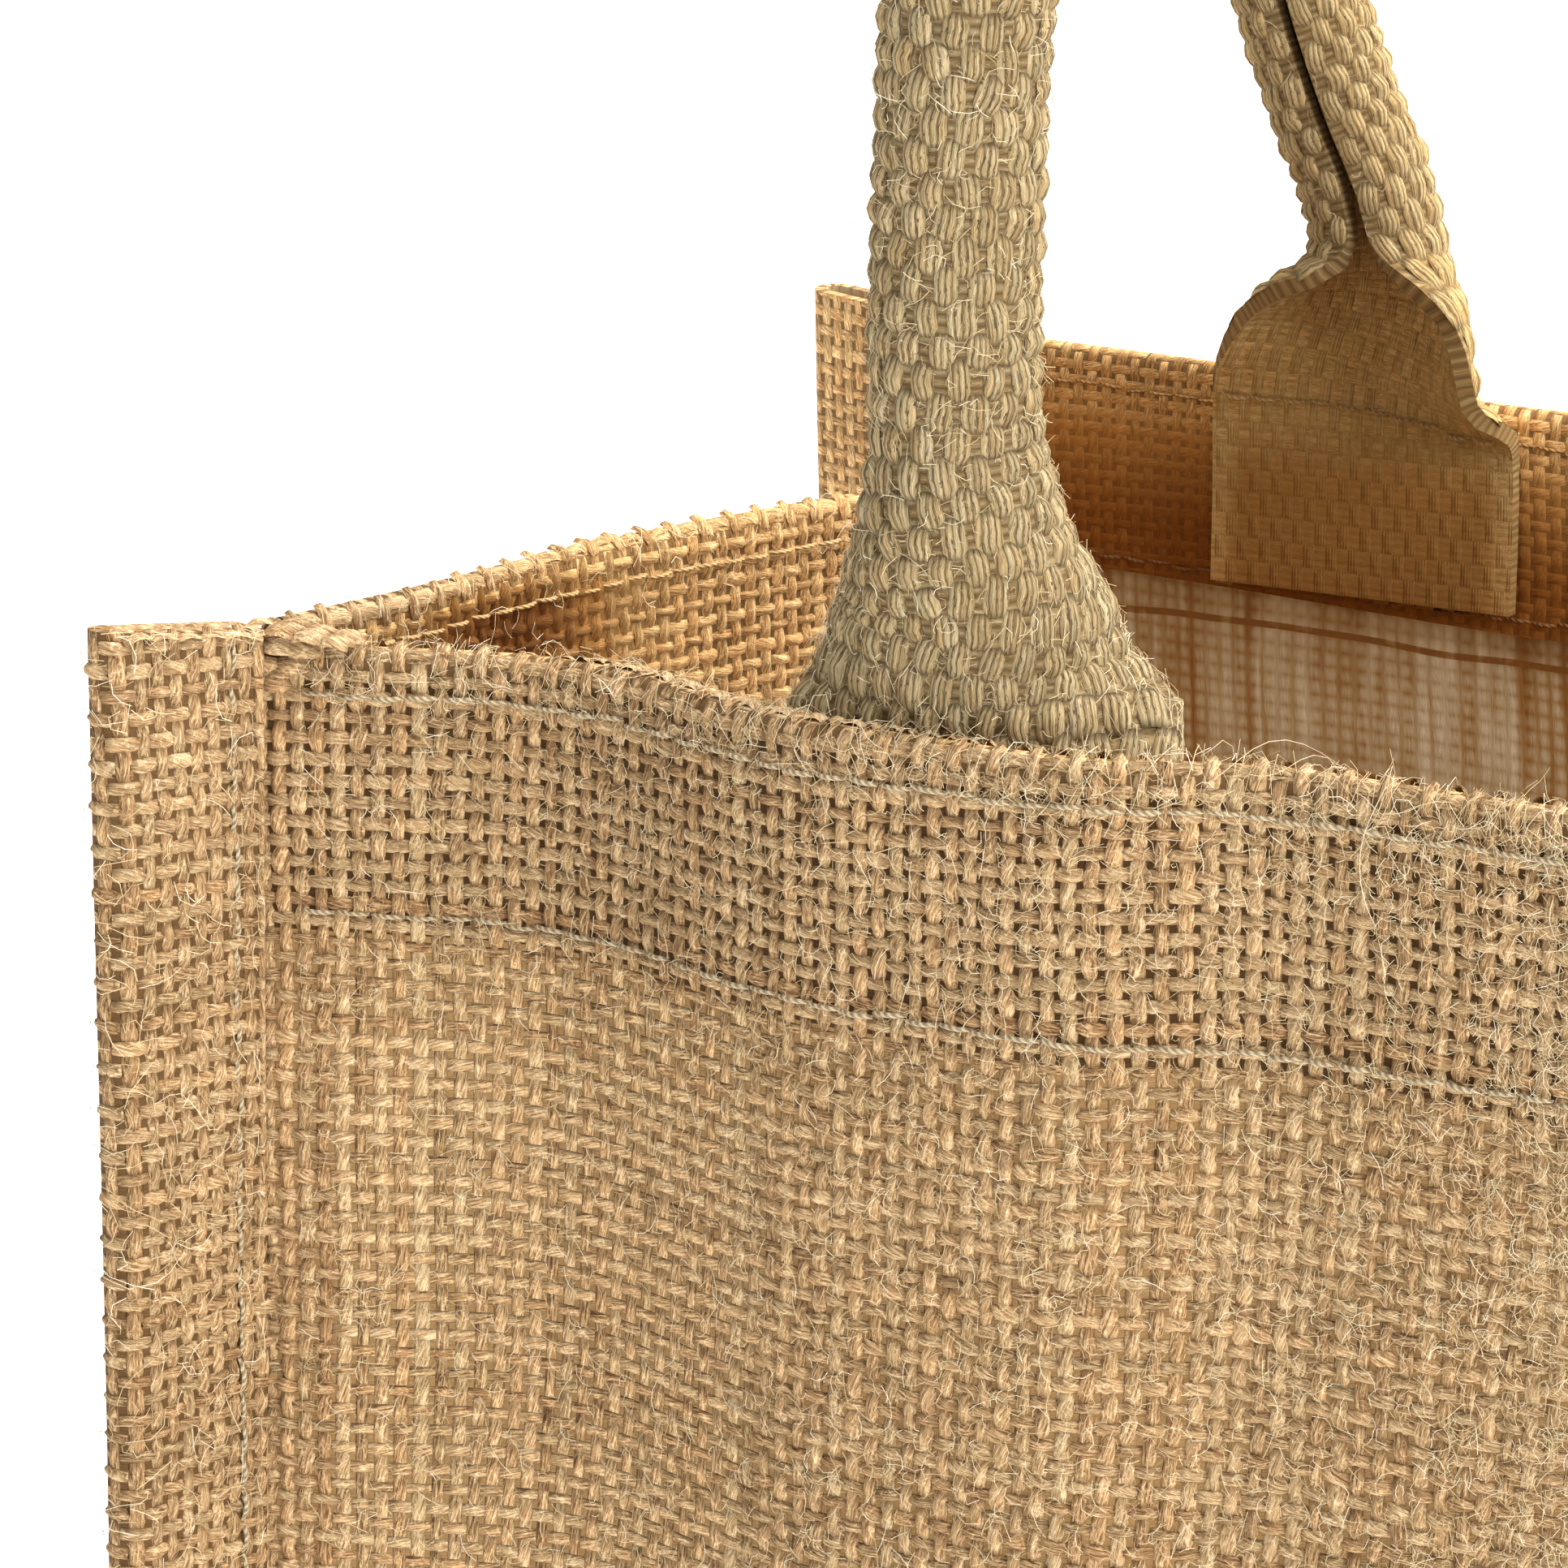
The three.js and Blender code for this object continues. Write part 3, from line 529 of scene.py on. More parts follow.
gusset_grids = {}
for side, gusset_name in ((-1, "left"), (1, "right")):
    sheet = Cloth()
    edge, beside = ((strip_points[:, k if side < 0 else -1 - k]) for k in (0, 1))
    flange = []
    for k, station in enumerate(STATIONS):
        end, level = station[0], station[1] or 0
        down = unit(edge[min(k + 1, len(edge) - 1)] - edge[max(k - 1, 0)])
        out = flange_direction(station, side)
        facing = -side * unit(np.cross(down, out))
        toward = unit(beside[k] - edge[k])
        away = side * unit(np.cross(toward, down))
        near_rim = float(eased(level, HEIGHT * 0.8, HEIGHT))
        crest = (HEIGHT - FOLD_CENTRE) * float(eased(level, CREST_START, FOLD_CENTRE))
        lift = GUSSET_RISE * near_rim + crest
        slope = (CORNER_FLANGES[(side, end)][1] if end else 0) * near_rim / FLANGE
        apart = LAYER + WRAP_EASE + bend_ease(station)
        spots = ([(reach, apart) for reach in np.linspace(0, WRAP_CENTRE, 5)]
                 + [(WRAP_CENTRE + LAYER * math.sin(turn), apart * math.cos(turn))
                    for turn in WRAP_TURNS]
                 + [(reach, -apart) for reach in np.linspace(WRAP_CENTRE, WRAP_END, 6)])
        flange.append([edge[k] + out * reach + facing * height + (0, 0, lift + slope * reach)
                       for reach, height in spots]
                      + [edge[k] + toward * WRAP_TUCK + away * apart + (0, 0, lift)])
    flange = np.array(flange)
    wrap_across = -np.append(0, np.cumsum(np.linalg.norm(np.diff(flange[0], axis=0), axis=1)))
    flange_rows = sheet.add(flange, *threads(wrap_across[None] + SIDE_START,
                                             strip_along[:, None]))
    sheet.weave(flange_rows)

    # The panel between the flanges, from the front seam to the back seam
    seam = flange[:, 0]
    lowest = len(LEVELS) + len(BENDS) // 2
    bottom = seam[lowest:len(seam) - lowest]
    shares = (bottom[:, 1] + HALF_BASE) / BASE_DEPTH
    panel = []
    for i in range(lowest):
        level = LEVELS[i] if i < len(LEVELS) else 0.0
        start, finish = seam[i], seam[-1 - i]
        row = start + (finish - start) * shares[:, None]
        row[:, 0] -= side * fold_depth(level) * column(GUSSET_PLAN, 1, 1 - np.abs(2 * shares - 1))
        row[:, 2] -= (HEIGHT - FOLD_CENTRE) * eased(level, CREST_START, FOLD_CENTRE)
        row[0], row[-1] = start, finish
        panel.append(row)
    panel = np.array(panel)
    rim_run = np.append(0, np.cumsum(np.linalg.norm(np.diff(panel[3][:, :2], axis=0), axis=1)))
    panel_across = rim_run + SIDE_START
    inner = [part[:, 1:-1] for part in (
        panel, *threads(panel_across[None], strip_along[:lowest, None]))]
    panel_rows = np.concatenate([flange_rows[:lowest, :1], sheet.add(*inner),
                                 flange_rows[::-1][:lowest, :1]], 1)
    panel_rows = np.concatenate([panel_rows, flange_rows[lowest:len(seam) - lowest, 0][None]])
    sheet.weave(panel_rows[:, ::-1])

    # Its hem leaves out the last few millimetres beside each seam
    run = panel[0][2:] - panel[0][:-2]
    inward = -side * unit(np.stack([run[:, 1], -run[:, 0], 0 * run[:, 0]], -1))
    points = hem_layer(panel[0][1:-1], inward)
    hem_place = panel_across[None, 1:-1], HEM_ALONG[:, None]
    hem_rows = sheet.add(points, *threads(*hem_place))
    sheet.weave(np.concatenate([panel_rows[0, 1:-1][None], hem_rows])[::-1, ::-1])
    gusset = sheet.piece(f"gusset_{gusset_name}_cloth", SHELL, [side_jute, film], flip=side > 0)
    # Painted light on the flanges' back half, more on the left one: brighter and warmer
    back_flange_painted_light = (0.08 if side < 0 else 0.03) * (np.arange(len(flange))[:, None] > lowest)
    mark(gusset, (flange.shape[:2], inner[0].shape[:2], points.shape[:2]),
         (1.0, strip_along[:lowest, None], -HEM_ALONG[:, None]),
         (back_flange_painted_light, 0.0, side_painted_inside(*hem_place)))
    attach(gusset, "root")
    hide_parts(f"gusset_{gusset_name}")
    gusset_grids[side] = (gusset, flange, wrap_across, panel, panel_across, points)


# ---------------------------------------------------------------------------------------------
# The yarns themselves, where the cloth is seen from nearest. A float is the stretch of one yarn
# that passes over its neighbour: a flattened bundle of bast fibres that dips under at both ends.
def raised(name, steps_along, steps_across, profile):
    """A small open cushion, one unit long (X) and wide (Y), as the shape of a float or stitch."""
    a = np.linspace(-0.5, 0.5, steps_along + 1)
    b = np.linspace(-0.5, 0.5, steps_across + 1)
    points = np.stack(profile(*np.meshgrid(a, b, indexing="ij")), -1)
    faces = quads(np.arange(points[..., 0].size).reshape(points.shape[:2]))
    mesh = bpy.data.meshes.new(name)
    mesh.from_pydata(points.reshape(-1, 3).tolist(), [], faces.tolist())
    flat = np.stack(np.meshgrid(a + 0.5, b + 0.5, indexing="ij"), -1).reshape(-1, 2)
    mesh.uv_layers.new(name="own").data.foreach_set(
        "uv", flat[faces.ravel()].astype(np.float32).ravel())
    mesh.polygons.foreach_set("use_smooth", np.ones(len(faces), bool))
    return bpy.data.objects.new(name, mesh)


def new_group(name, **inputs):
    """Starts a Geometry Nodes tree that takes a mesh and gives back plain, finished geometry."""
    group = bpy.data.node_groups.new(name, "GeometryNodeTree")
    for label, kind in inputs.items():
        group.interface.new_socket(name=label, in_out="INPUT", socket_type=f"NodeSocket{kind}")
    group.interface.new_socket(name="Made", in_out="OUTPUT", socket_type="NodeSocketGeometry")
    return group, group.nodes.new("NodeGroupInput").outputs


def finish_group(group, shape, finish):
    """Ends such a tree: its instances are made real and the piece's material is set."""
    real = add(group, "GeometryNodeRealizeInstances", shape)
    add(group, "NodeGroupOutput", add(group, "GeometryNodeSetMaterial", real, Material=finish))


def built(name, mesh, group, given, marks):
    """Runs a Geometry Nodes tree on a mesh with some point attributes, and makes the piece, one
    plain mesh, of what comes out. given are the tree's inputs by name."""
    for label, values in marks.items():
        values = np.asarray(values, np.float32)
        kind, part = ("FLOAT_VECTOR", "vector") if values.ndim > 1 else ("FLOAT", "value")
        mesh.attributes.new(label, kind, "POINT").data.foreach_set(part, values.ravel())
    rough = new_object(name + "_rough", mesh)
    modifier = rough.modifiers.new("nodes", "NODES")
    modifier.node_group = group
    for item in group.interface.items_tree:
        if item.in_out == "INPUT" and item.name in given:
            modifier[item.identifier] = given[item.name]
    rough.update_tag()
    bpy.context.view_layer.update()
    depsgraph = bpy.context.evaluated_depsgraph_get()
    made = new_object(name, bpy.data.meshes.new_from_object(rough.evaluated_get(depsgraph)))
    made.data.name = name
    bpy.data.objects.remove(rough)
    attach(made, "root")
    return made


# Lays one shape on every spot, turned by its normal and its run
LAYING, given = new_group("lay_on_cloth", Spots="Geometry", Shape="Object", Finish="Material")
facing, run, size = (add(LAYING, "GeometryNodeInputNamedAttribute", Name=label,
                         data_type="FLOAT_VECTOR") for label in ("facing", "run", "size"))
turn = add(LAYING, "FunctionNodeAxesToRotation", facing, run, primary_axis="Z",
           secondary_axis="X")
shape = add(LAYING, "GeometryNodeObjectInfo", Object=given["Shape"]).outputs["Geometry"]
finish_group(LAYING, add(LAYING, "GeometryNodeInstanceOnPoints", Points=given["Spots"],
                         Instance=shape, Rotation=turn, Scale=size), given["Finish"])


def lay(name, shape, finish, spots, facing, run, size, **extra):
    """Lays a shape on every spot and makes one plain mesh of them. Lengths are in millimetres."""
    mesh = bpy.data.meshes.new(name)
    mesh.from_pydata(((spots - FOOTPRINT_MIDDLE) / 1000).tolist(), [], [])
    made = built(name, mesh, LAYING, {"Shape": shape, "Finish": finish},
                 {"facing": facing, "run": run, "size": size / 1000, **extra})
    for label in ("facing", "run", "size"):
        made.data.attributes.remove(made.data.attributes[label])
    return made


def on_sheet(points, across, along, where_across, where_along, face=1):
    """The place, normal and both directions of the cloth at places on a grid of points.
    face is 1 or -1, for the side that the normal points out of."""
    def place(s, t):
        i = np.clip(np.searchsorted(across, s) - 1, 0, len(across) - 2)
        j = np.clip(np.searchsorted(along, t) - 1, 0, len(along) - 2)
        p = np.clip((s - across[i]) / (across[i + 1] - across[i]), 0, 1)[:, None]
        q = np.clip((t - along[j]) / (along[j + 1] - along[j]), 0, 1)[:, None]
        return ((points[j, i] * (1 - p) + points[j, i + 1] * p) * (1 - q)
                + (points[j + 1, i] * (1 - p) + points[j + 1, i + 1] * p) * q)
    step = THREAD_PITCH / 2
    spot = place(where_across, where_along)
    side = unit(place(where_across + step, where_along) - place(where_across - step, where_along))
    down = unit(place(where_across, where_along + step) - place(where_across, where_along - step))
    return spot, unit(np.cross(down, side)) * face, side, down


def flat_place(thread_across, thread_along):
    """Where on the flat cloth, in millimetres, a crossing of two threads lies."""
    across, along = thread_across * THREAD_PITCH, thread_along * THREAD_PITCH
    for _ in range(6):
        now_across, now_along = threads(across, along)
        across = across + (thread_across - now_across) * THREAD_PITCH * 0.8
        along = along + (thread_along - now_along) * THREAD_PITCH * 0.8
    return across, along


def float_profile(x, y):
    crimp = 0.34 * np.cos(np.pi * 1.6 * x)
    swell = 0.6 * (1 - np.abs(1.9 * y) ** 2.6) - 0.2
    return x, y * (1 - 0.25 * np.abs(2 * x) ** 3), crimp + swell


FLOAT_SHAPE = raised("float_shape", 5, 4, float_profile)

# Raw jute yarn, loosely spun: matt, with fine lengthwise fibres, and painted shade where it dips
yarn, tree, shader = new_material("jute_yarn")
own_along, own_across, _ = add(tree, "SeparateXYZ", ("UVMap.own",)).outputs
from_middle = add(tree, "SUBTRACT", own_along, 0.5)
along = add(tree, "ADD", add(tree, "Attribute.along"), ("MULTIPLY", from_middle, 1.6))
across = add(tree, "MULTIPLY", ("SUBTRACT", own_across, 0.5), 0.7)
look, streak = fibre_look(tree, add(tree, "Attribute.strand"), along, across, YARN_STOPS)
# Painted shade at the float's ends, where the yarn dips under its neighbours
dip_painted_shade = ("MapRange", ("ABSOLUTE", from_middle), 0.3, 0.5, 0.0, 0.55)
base = add(tree, "Mix.RGBA", dip_painted_shade, look, "#7d5a30")
bump = add(tree, "Bump", Height=streak, Strength=1.0, Distance=0.0006)
add(tree, shader, Base_Color=inside_light(tree, base), Normal=bump, Roughness=0.85,
    Specular_IOR_Level=0.25)


# More than the bag has: the yarns left of the middle have negative numbers, and count from the end
YARN_WIDTHS = np.array([np.random.default_rng(k + 9).uniform() for k in range(2400)])
SINK = 0.8
MARGIN = 0.6


def weave_floats(name, grids, seed):
    """Lays a float on every crossing of some stretches of cloth. A grid is its points, their places
    across and along the flat cloth and the side that shows; then come the stretch in millimetres,
    the widths at its four sides in which the floats sink into the drawn weave, and the function
    that gives a place's share of painted inside light and shade."""
    random = np.random.default_rng(seed)
    found = []
    for points, across, along, face, (left, right), (top, bottom), sinking, inside in grids:
        i, j = (part.ravel() for part in np.meshgrid(
            *(np.arange(int(low / THREAD_PITCH), int(high / THREAD_PITCH))
              for low, high in ((left, right), (top, bottom)))))
        s, t = flat_place(i + 0.5, j + 0.5)
        on = ((s > across[0] + MARGIN) & (s < across[-1] - MARGIN)
              & (t > along[0] + MARGIN) & (t < along[-1] - MARGIN))
        i, j, s, t = i[on], j[on], s[on], t[on]
        spot, normal, side, down = on_sheet(points, across, along, s, t, face)
        sunk = np.zeros(len(s))
        for off, width in zip((s - left, right - s, t - top, bottom - t), sinking):
            if width:
                sunk = np.maximum(sunk, 1 - eased(off, 0, width))
        spot = spot - normal * SINK * sunk[:, None]
        found.append((i, j, spot, normal, side, down, inside(s, t) if inside else 0 * s))
    i, j, spot, normal, side, down, painted_inside_share = (np.concatenate(part) for part in zip(*found))
    count = len(i)
    warp = (i + j) % 2 == 0
    run = np.where(warp[:, None], down, side)
    strand = np.where(warp, i, j + WEFT_START)
    place = np.where(warp, j, i) + 0.5
    # Each yarn has a width of its own, and thick and thin stretches
    own = YARN_WIDTHS[strand]
    slub = 1 + 0.16 * np.sin(place * 0.45 + own * 40) * np.sin(place * 0.13 + own * 90)
    width = np.where(warp, 0.98 + 0.5 * own, 0.8 + 0.5 * own) * slub
    width *= random.uniform(0.86, 1.14, count)
    length = random.uniform(2.7, 3.2, count)
    height = random.uniform(0.68, 0.95, count)
    run = unit(run + np.where(warp[:, None], side, down) * random.normal(0, 0.075, (count, 1)))
    spot = (spot + normal * (SHELL / 2) + side * random.normal(0, 0.07, (count, 1))
            + down * random.normal(0, 0.07, (count, 1)))
    return lay(name, FLOAT_SHAPE, yarn, spot, normal, run, np.stack([length, width, height], -1),
               strand=strand, along=place, inside=painted_inside_share)


front_grid = (np.concatenate([hem_grids[-1][0][::-1], strip_points[:, 1:-1]]), hem_across,
              np.concatenate([hem_grids[-1][1][::-1], strip_along]), 1)
corner_grid = (strip_points[:, :3], strip_across[:3], strip_along, 1)
front_floats = weave_floats("front_yarns", [
    (*front_grid, (-151, -20), (-3, 28), (0, 0, 0, 4), None),
    (*front_grid, (-108, -20), (28, 92), (16, 8, 0, 8), None),
    (*corner_grid, (-151, -143), (0, 98), (0, 0, 0, 8), None)], 5)
hem_floats = weave_floats("hem_yarns", [
    (*front_grid, (-20, 151), (-3, 28), (0, 0, 0, 4), None)], 6)
side_grids = {}
for side, (_, flange, wrap_across, panel, panel_across, hem_points) in gusset_grids.items():
    half = len(LEVELS)
    side_grids[side] = (
        (flange[:half, 5:][:, ::-1], wrap_across[5:][::-1] + SIDE_START, strip_along[:half], side),
        (np.concatenate([hem_points[::-1], panel[:, 1:-1]]), panel_across[1:-1],
         np.concatenate([HEM_ALONG[::-1], strip_along[:len(panel)]]), side))
_, flange, _, panel, panel_across, hem_points = gusset_grids[-1]
wrap, mouth = side_grids[-1]
corner_grid = (panel[:8, :3], panel_across[:3], strip_along[:8], 1)
side_floats = weave_floats("side_yarns_left", [
    (*wrap, (660, 685), (-2, 102), (0, 3, 0, 8), None),
    (*mouth, (700, 850), (-26, 0), (0, 0, 0, 0), side_painted_inside),
    (*corner_grid, (699, 708), (0, 15), (0, 0, 0, 0), None)], 7)

# The outermost weft lies along the flange's cut top edge, and on over the corner to the hem. Each
# of its floats is a place, a run and a facing
outward = unit(flange[0, 3] - flange[0, 0])
thick = flange[0, 0] - flange[0, -1]
corner_floats = [(flange[0, 0] + outward * reach - thick * layer - (0, 0, 0.5), outward, UP)
                 for layer in (0.06, 0.5, 0.94) for reach in np.arange(0.6, WRAP_CENTRE + 1.5, 2.5)]
corner_floats += [(flange[0, -1] + (place, depth, 0.1 - place / 10), (1, 0, 0),
                   unit((0, -0.4, 0.9))) for depth in (0.2, 1.6, 3.0) for place in (1.5, 4.2, 6.9)]
# Two bridge the seam to the side's own fold, one closes that fold, and five lie on the front
corner_floats += [((start + finish) / 2 - (0, 0, 0.2), unit(finish - start), unit((-0.1, -0.1, 1)))
                  for start, finish in ((flange[0, 0], hem_points[2, 0]),
                                        (flange[0, -1], hem_points[4, 0]))]
corner_floats.append((hem_points[2, 0] + (-0.15, -0.5, -0.3), unit((0.92, -0.38, 0)),
                      unit((-0.35, -0.9, 0.3))))
corner_floats += [(strip_points[0, 0] + (place, 0.18 * place - (0.75 if drop > 0 else 1.5), -drop),
                   unit((1, 0.18, 0)), unit((0.18, -1, 0.25)))
                  for place, drop in ((1.5, 0.3), (4.4, 0.2), (2.6, 1.9), (3.4, -1.7), (5.6, -1.5))]
spots, runs, facings = (np.array(part) for part in zip(*corner_floats))
count = len(spots)
random = np.random.default_rng(17)
sizes = np.stack([random.uniform(2.9, 3.4, count), random.uniform(1.5, 1.9, count),
                  random.uniform(0.7, 0.95, count)], -1)
edge_floats = lay("corner_yarns_left", FLOAT_SHAPE, yarn, spots, facings, runs, sizes,
                  strand=np.arange(count) % 7 + 900.0, along=np.arange(count) * 1.7,
                  inside=np.zeros(count))


# ---------------------------------------------------------------------------------------------
# Sewing: a lockstitch in greyish beige thread runs twice round the mouth, just under the fold and
# just above the hem's edge, and down every flange. It shows on both faces of the cloth.
STITCH = 3.1
UPPER, LOWER = 3.9, 23.6

# Spun sewing thread, matt: its two plies twist round each other about every millimetre
thread, tree, shader = new_material("spun_sewing_thread")
own_along, own_across, _ = add(tree, "SeparateXYZ", ("UVMap.own",)).outputs
ply = add(tree, "SINE", ("MULTIPLY", ("ADD", ("MULTIPLY", own_along, 4.3), own_across), 2 * np.pi))
# The grooves between the plies are painted darker, as shade
spun = add(tree, "ValToRGB", ("ADD", ("MULTIPLY", ply, 0.4), 0.5), stops=[
    (0.0, "#766549"), (0.5, "#a59374"), (1.0, "#cab996")])
bump = add(tree, "Bump", Height=ply, Strength=0.6, Distance=0.0001)
add(tree, shader, Base_Color=inside_light(tree, spun), Normal=bump, Roughness=0.75)


def stitch_profile(x, y):
    swell = np.sqrt(np.maximum(1 - (2 * y) ** 2, 0))
    return x, y * (1 - 0.4 * (2 * x) ** 4), swell * 0.6 + 1.3 * (1 - (2 * x) ** 2) - 0.8


STITCH_SHAPE = raised("stitch_shape", 6, 4, stitch_profile)


def sew(name, lines, seed):
    """Lays stitches along lines on cloth. A line is a grid, its start and end (across, along) in
    millimetres, how far the thread lies off the middle of the cloth, and its share of painted
    inside light and shade."""
    random = np.random.default_rng(seed)
    found = []
    for (points, across, along, face), start, end, off, painted_inside_share in lines:
        run = np.subtract(end, start)
        count = int(max(abs(run)) / STITCH)
        share = (np.arange(count) + 0.5) / count
        s = start[0] + run[0] * share + np.sin(share * count / 9) * 0.12
        t = start[1] + run[1] * share + np.sin(share * count / 7) * 0.12
        spot, normal, side, down = on_sheet(points, across, along, s, t, face)
        level = abs(run[0]) > abs(run[1])
        found.append((spot + normal * off, normal, side if level else down, down if level else side,
                      np.full(count, painted_inside_share)))
    spot, normal, run, other, painted_inside_share = (np.concatenate(part) for part in zip(*found))
    count = len(spot)
    spot = (spot + other * random.normal(0, 0.12, (count, 1))
            + normal * random.normal(0, 0.07, (count, 1)))
    run = unit(run + other * random.normal(0, 0.05, (count, 1)))
    size = np.stack([random.uniform(2.9, 3.5, count), random.uniform(0.36, 0.5, count),
                     random.uniform(0.4, 0.6, count)], -1)
    return lay(name, STITCH_SHAPE, thread, spot, normal, run, size, inside=painted_inside_share)


SURFACE = SHELL / 2 + 0.1
SEWN_END = 145
back_grid = (np.concatenate([strip_points[:, 1:-1], hem_grids[1][0]]), hem_across,
             np.concatenate([strip_along, hem_grids[1][1]]), 1)
lines = []
# The stitches on the hems' inside get painted inside light and shade
for depth in (UPPER, LOWER):
    for grid, along, off, painted_inside_share in (
            (front_grid, depth, SHELL / 2 + 0.62, 0), (front_grid, -depth, SURFACE, 0.5),
            (back_grid, strip_length - depth, SURFACE, 0),
            (back_grid, strip_length + depth, SURFACE, 0.5 if depth == UPPER else 0.85)):
        lines.append((grid, (-SEWN_END, along), (SEWN_END, along), off, painted_inside_share))
body_seams = sew("mouth_stitches", lines, 11)
lines = []
for side, (wrap, mouth) in side_grids.items():
    seam_top, seam_bottom = ((wrap[1][0] + 3.6, along) for along in (2, 284))
    lines.append((wrap, seam_top, seam_bottom, SHELL / 2 + (0.3 if side < 0 else 0.1), 0))
    ends = mouth[1][[0, -1]] + (3, -3)
    for depth in (UPPER, LOWER):
        for turned in (1, -1):
            # Those on the hem's inside get painted inside light and shade
            lines.append((mouth, (ends[0], depth * turned), (ends[1], depth * turned),
                          SHELL / 2 + (0.4 if turned < 0 and side < 0 else 0.1),
                          0.4 * (turned < 0)))
    flange = gusset_grids[side][1]
    behind = (flange[-len(LEVELS):, 5:][::-1][:, ::-1], wrap[1], wrap[2], -side)
    lines.append((behind, seam_top, seam_bottom, SURFACE, 0))
side_seams = sew("side_stitches", lines, 12)


# ---------------------------------------------------------------------------------------------
# Handles: heavy jute webbing, 36 mm wide, four threads to a rib. Each end is sewn flat inside the
# hem; above the rim the webbing is rolled to a tube, open towards the inside of the bag.
WEBBING_WIDTH = 36.0
WEBBING = 2.5
WEBBING_GROUND = 1.8
WEBBING_CENTRE = LAYER + CLOTH / 2 + GAP + 0.25 + WEBBING / 2
RIB = 1.35
PICK = 2.65
ROLL_LIMIT = 352.0
# Across from the handle's middle, above the rim, the roll's angle and how far the roll is turned
FRONT_HANDLE = [
    (86.2, -24.5, 6, 0), (86.2, -12, 6, 0), (86.2, -1, 22, 4), (86.5, 4, 151, 14),
    (86.1, 8.5, 192, 17.5), (86.5, 13.5, 236.5, 24.5), (87.4, 18.5, 288, 20.5),
    (88.2, 23.5, 335, 14), (88.2, 29, 349, 16.5), (87.8, 38, 351, 20), (87, 61, 351, 18),
    (84.8, 88, 351, 15), (80.2, 116, 351, 10), (70.8, 144, 351, 6), (54.8, 169, 351, 3),
    (30, 187.5, 351, 0), (0, 194, 351, 0)]
BACK_HANDLE = [
    (87.2, -25, 6, 0), (87.2, -12, 6, 0), (87.2, -4, 26, 0), (86.6, 1, 112, 0), (85.4, 5.5, 160, 0),
    (84.6, 10, 210, 0), (84.6, 15, 326, 0), (86.2, 22, 348, 0), (89.7, 30, 351, 0),
    (94.5, 43, 351, 0), (100, 64, 351, 0), (102, 87, 351, 0), (98, 112, 351, 0),
    (85.5, 139, 351, 0), (63, 162, 351, 0), (34, 175, 351, 0), (0, 179, 351, 0)]
WEBBING_STOPS = [(0.0, "#846c48"), (0.25, "#b69c72"), (0.5, "#dcc699"), (0.75, "#f1dfb8"),
                 (1.0, "#fdf3da")]


def webbing_look(name, flat):
    """Jute webbing between its ribs: fine weft lines, and where flat is 1 its ribs drawn on."""
    material, tree, shader = new_material(name)
    u, v, _ = add(tree, "SeparateXYZ", ("UVMap.cloth",)).outputs
    pick = add(tree, "MULTIPLY", v, 3.0)
    line = add(tree, "ABSOLUTE", ("SUBTRACT", ("FRACT", pick), 0.5))
    weft = add(tree, "SUBTRACT", 0.5, line)
    look, streak = fibre_look(tree, add(tree, "FLOOR", pick), u, line, WEBBING_STOPS)
    four = add(tree, "MULTIPLY", u, 4.0)
    ribs = add(tree, "ABSOLUTE", ("SUBTRACT", ("FRACT", four), 0.5))
    rib_look, _ = fibre_look(tree, add(tree, "FLOOR", four), v, ribs, WEBBING_STOPS)
    parity = ("FLOORED_MODULO", ("ADD", ("FLOOR", u), ("FLOOR", v)), 2.0)
    over = add(tree, "MULTIPLY", parity, flat)
    swell = ("MULTIPLY", ("SINE", ("MULTIPLY", ("FRACT", v), np.pi)),
             ("SINE", ("MULTIPLY", ("FRACT", u), np.pi)))
    # Painted shade between the weft threads, mixed in as dark brown; less of it where flat is 1
    shadow = ("MULTIPLY", ("SUBTRACT", 1.0, weft), 0.5)
    dark = ("ADD", ("MULTIPLY", shadow, 1.2 - 0.7 * flat), 0.35 - 0.2 * flat)
    base = add(tree, "Mix.RGBA", dark, ("Mix.RGBA", over, look, rib_look), "#5c4626")
    rib_height = ("ADD", ("MULTIPLY", swell, 0.5), ("MULTIPLY", ("SUBTRACT", 0.5, ribs), 0.25))
    height = ("ADD", ("MULTIPLY", weft, 0.3), ("MULTIPLY", rib_height, over))
    bump = add(tree, "Bump", Height=("ADD", height, ("MULTIPLY", streak, 0.15)), Strength=0.9,
               Distance=0.0012)
    add(tree, shader, Base_Color=inside_light(tree, base), Normal=bump, Roughness=0.9,
        Specular_IOR_Level=0.2)
    return material


webbing_outside = webbing_look("jute_webbing_ground", 0.0)
webbing_inside = webbing_look("jute_webbing_inside", 1.0)

# The webbing's yarn, paler than the cloth's: four threads to a rib, which are not quite even and
# wander against each other, with painted shade in the grooves between them
rib_yarn, tree, shader = new_material("jute_webbing_yarn")
strand = add(tree, "Attribute.strand")
own_along, own_across, _ = add(tree, "SeparateXYZ", ("UVMap.own",)).outputs
place = ("CombineXYZ", ("MULTIPLY", own_along, 1.3), ("MULTIPLY", strand, 2.9))
wave = add(tree, "TexNoise.2D", place, Scale=1.0, Detail=1.0)
four = add(tree, "ADD", ("MULTIPLY", own_across, 4.0), ("MULTIPLY", ("SUBTRACT", wave, 0.5), 1.2))
number = add(tree, "ADD", ("MULTIPLY", strand, 4.0), ("FLOOR", four))
across = add(tree, "SUBTRACT", ("FRACT", four), 0.5)
groove = add(tree, "ABSOLUTE", across)
along = add(tree, "ADD", add(tree, "Attribute.along"), ("MULTIPLY", own_along, 1.5))
look, streak = fibre_look(tree, number, along, across, WEBBING_STOPS)
# Painted shade in the grooves between the threads
low = ("MapRange", ("ADD", groove, ("MULTIPLY", ("SUBTRACT", streak, 0.5), 0.8)),
       0.3, 0.54, 0.0, 0.92)
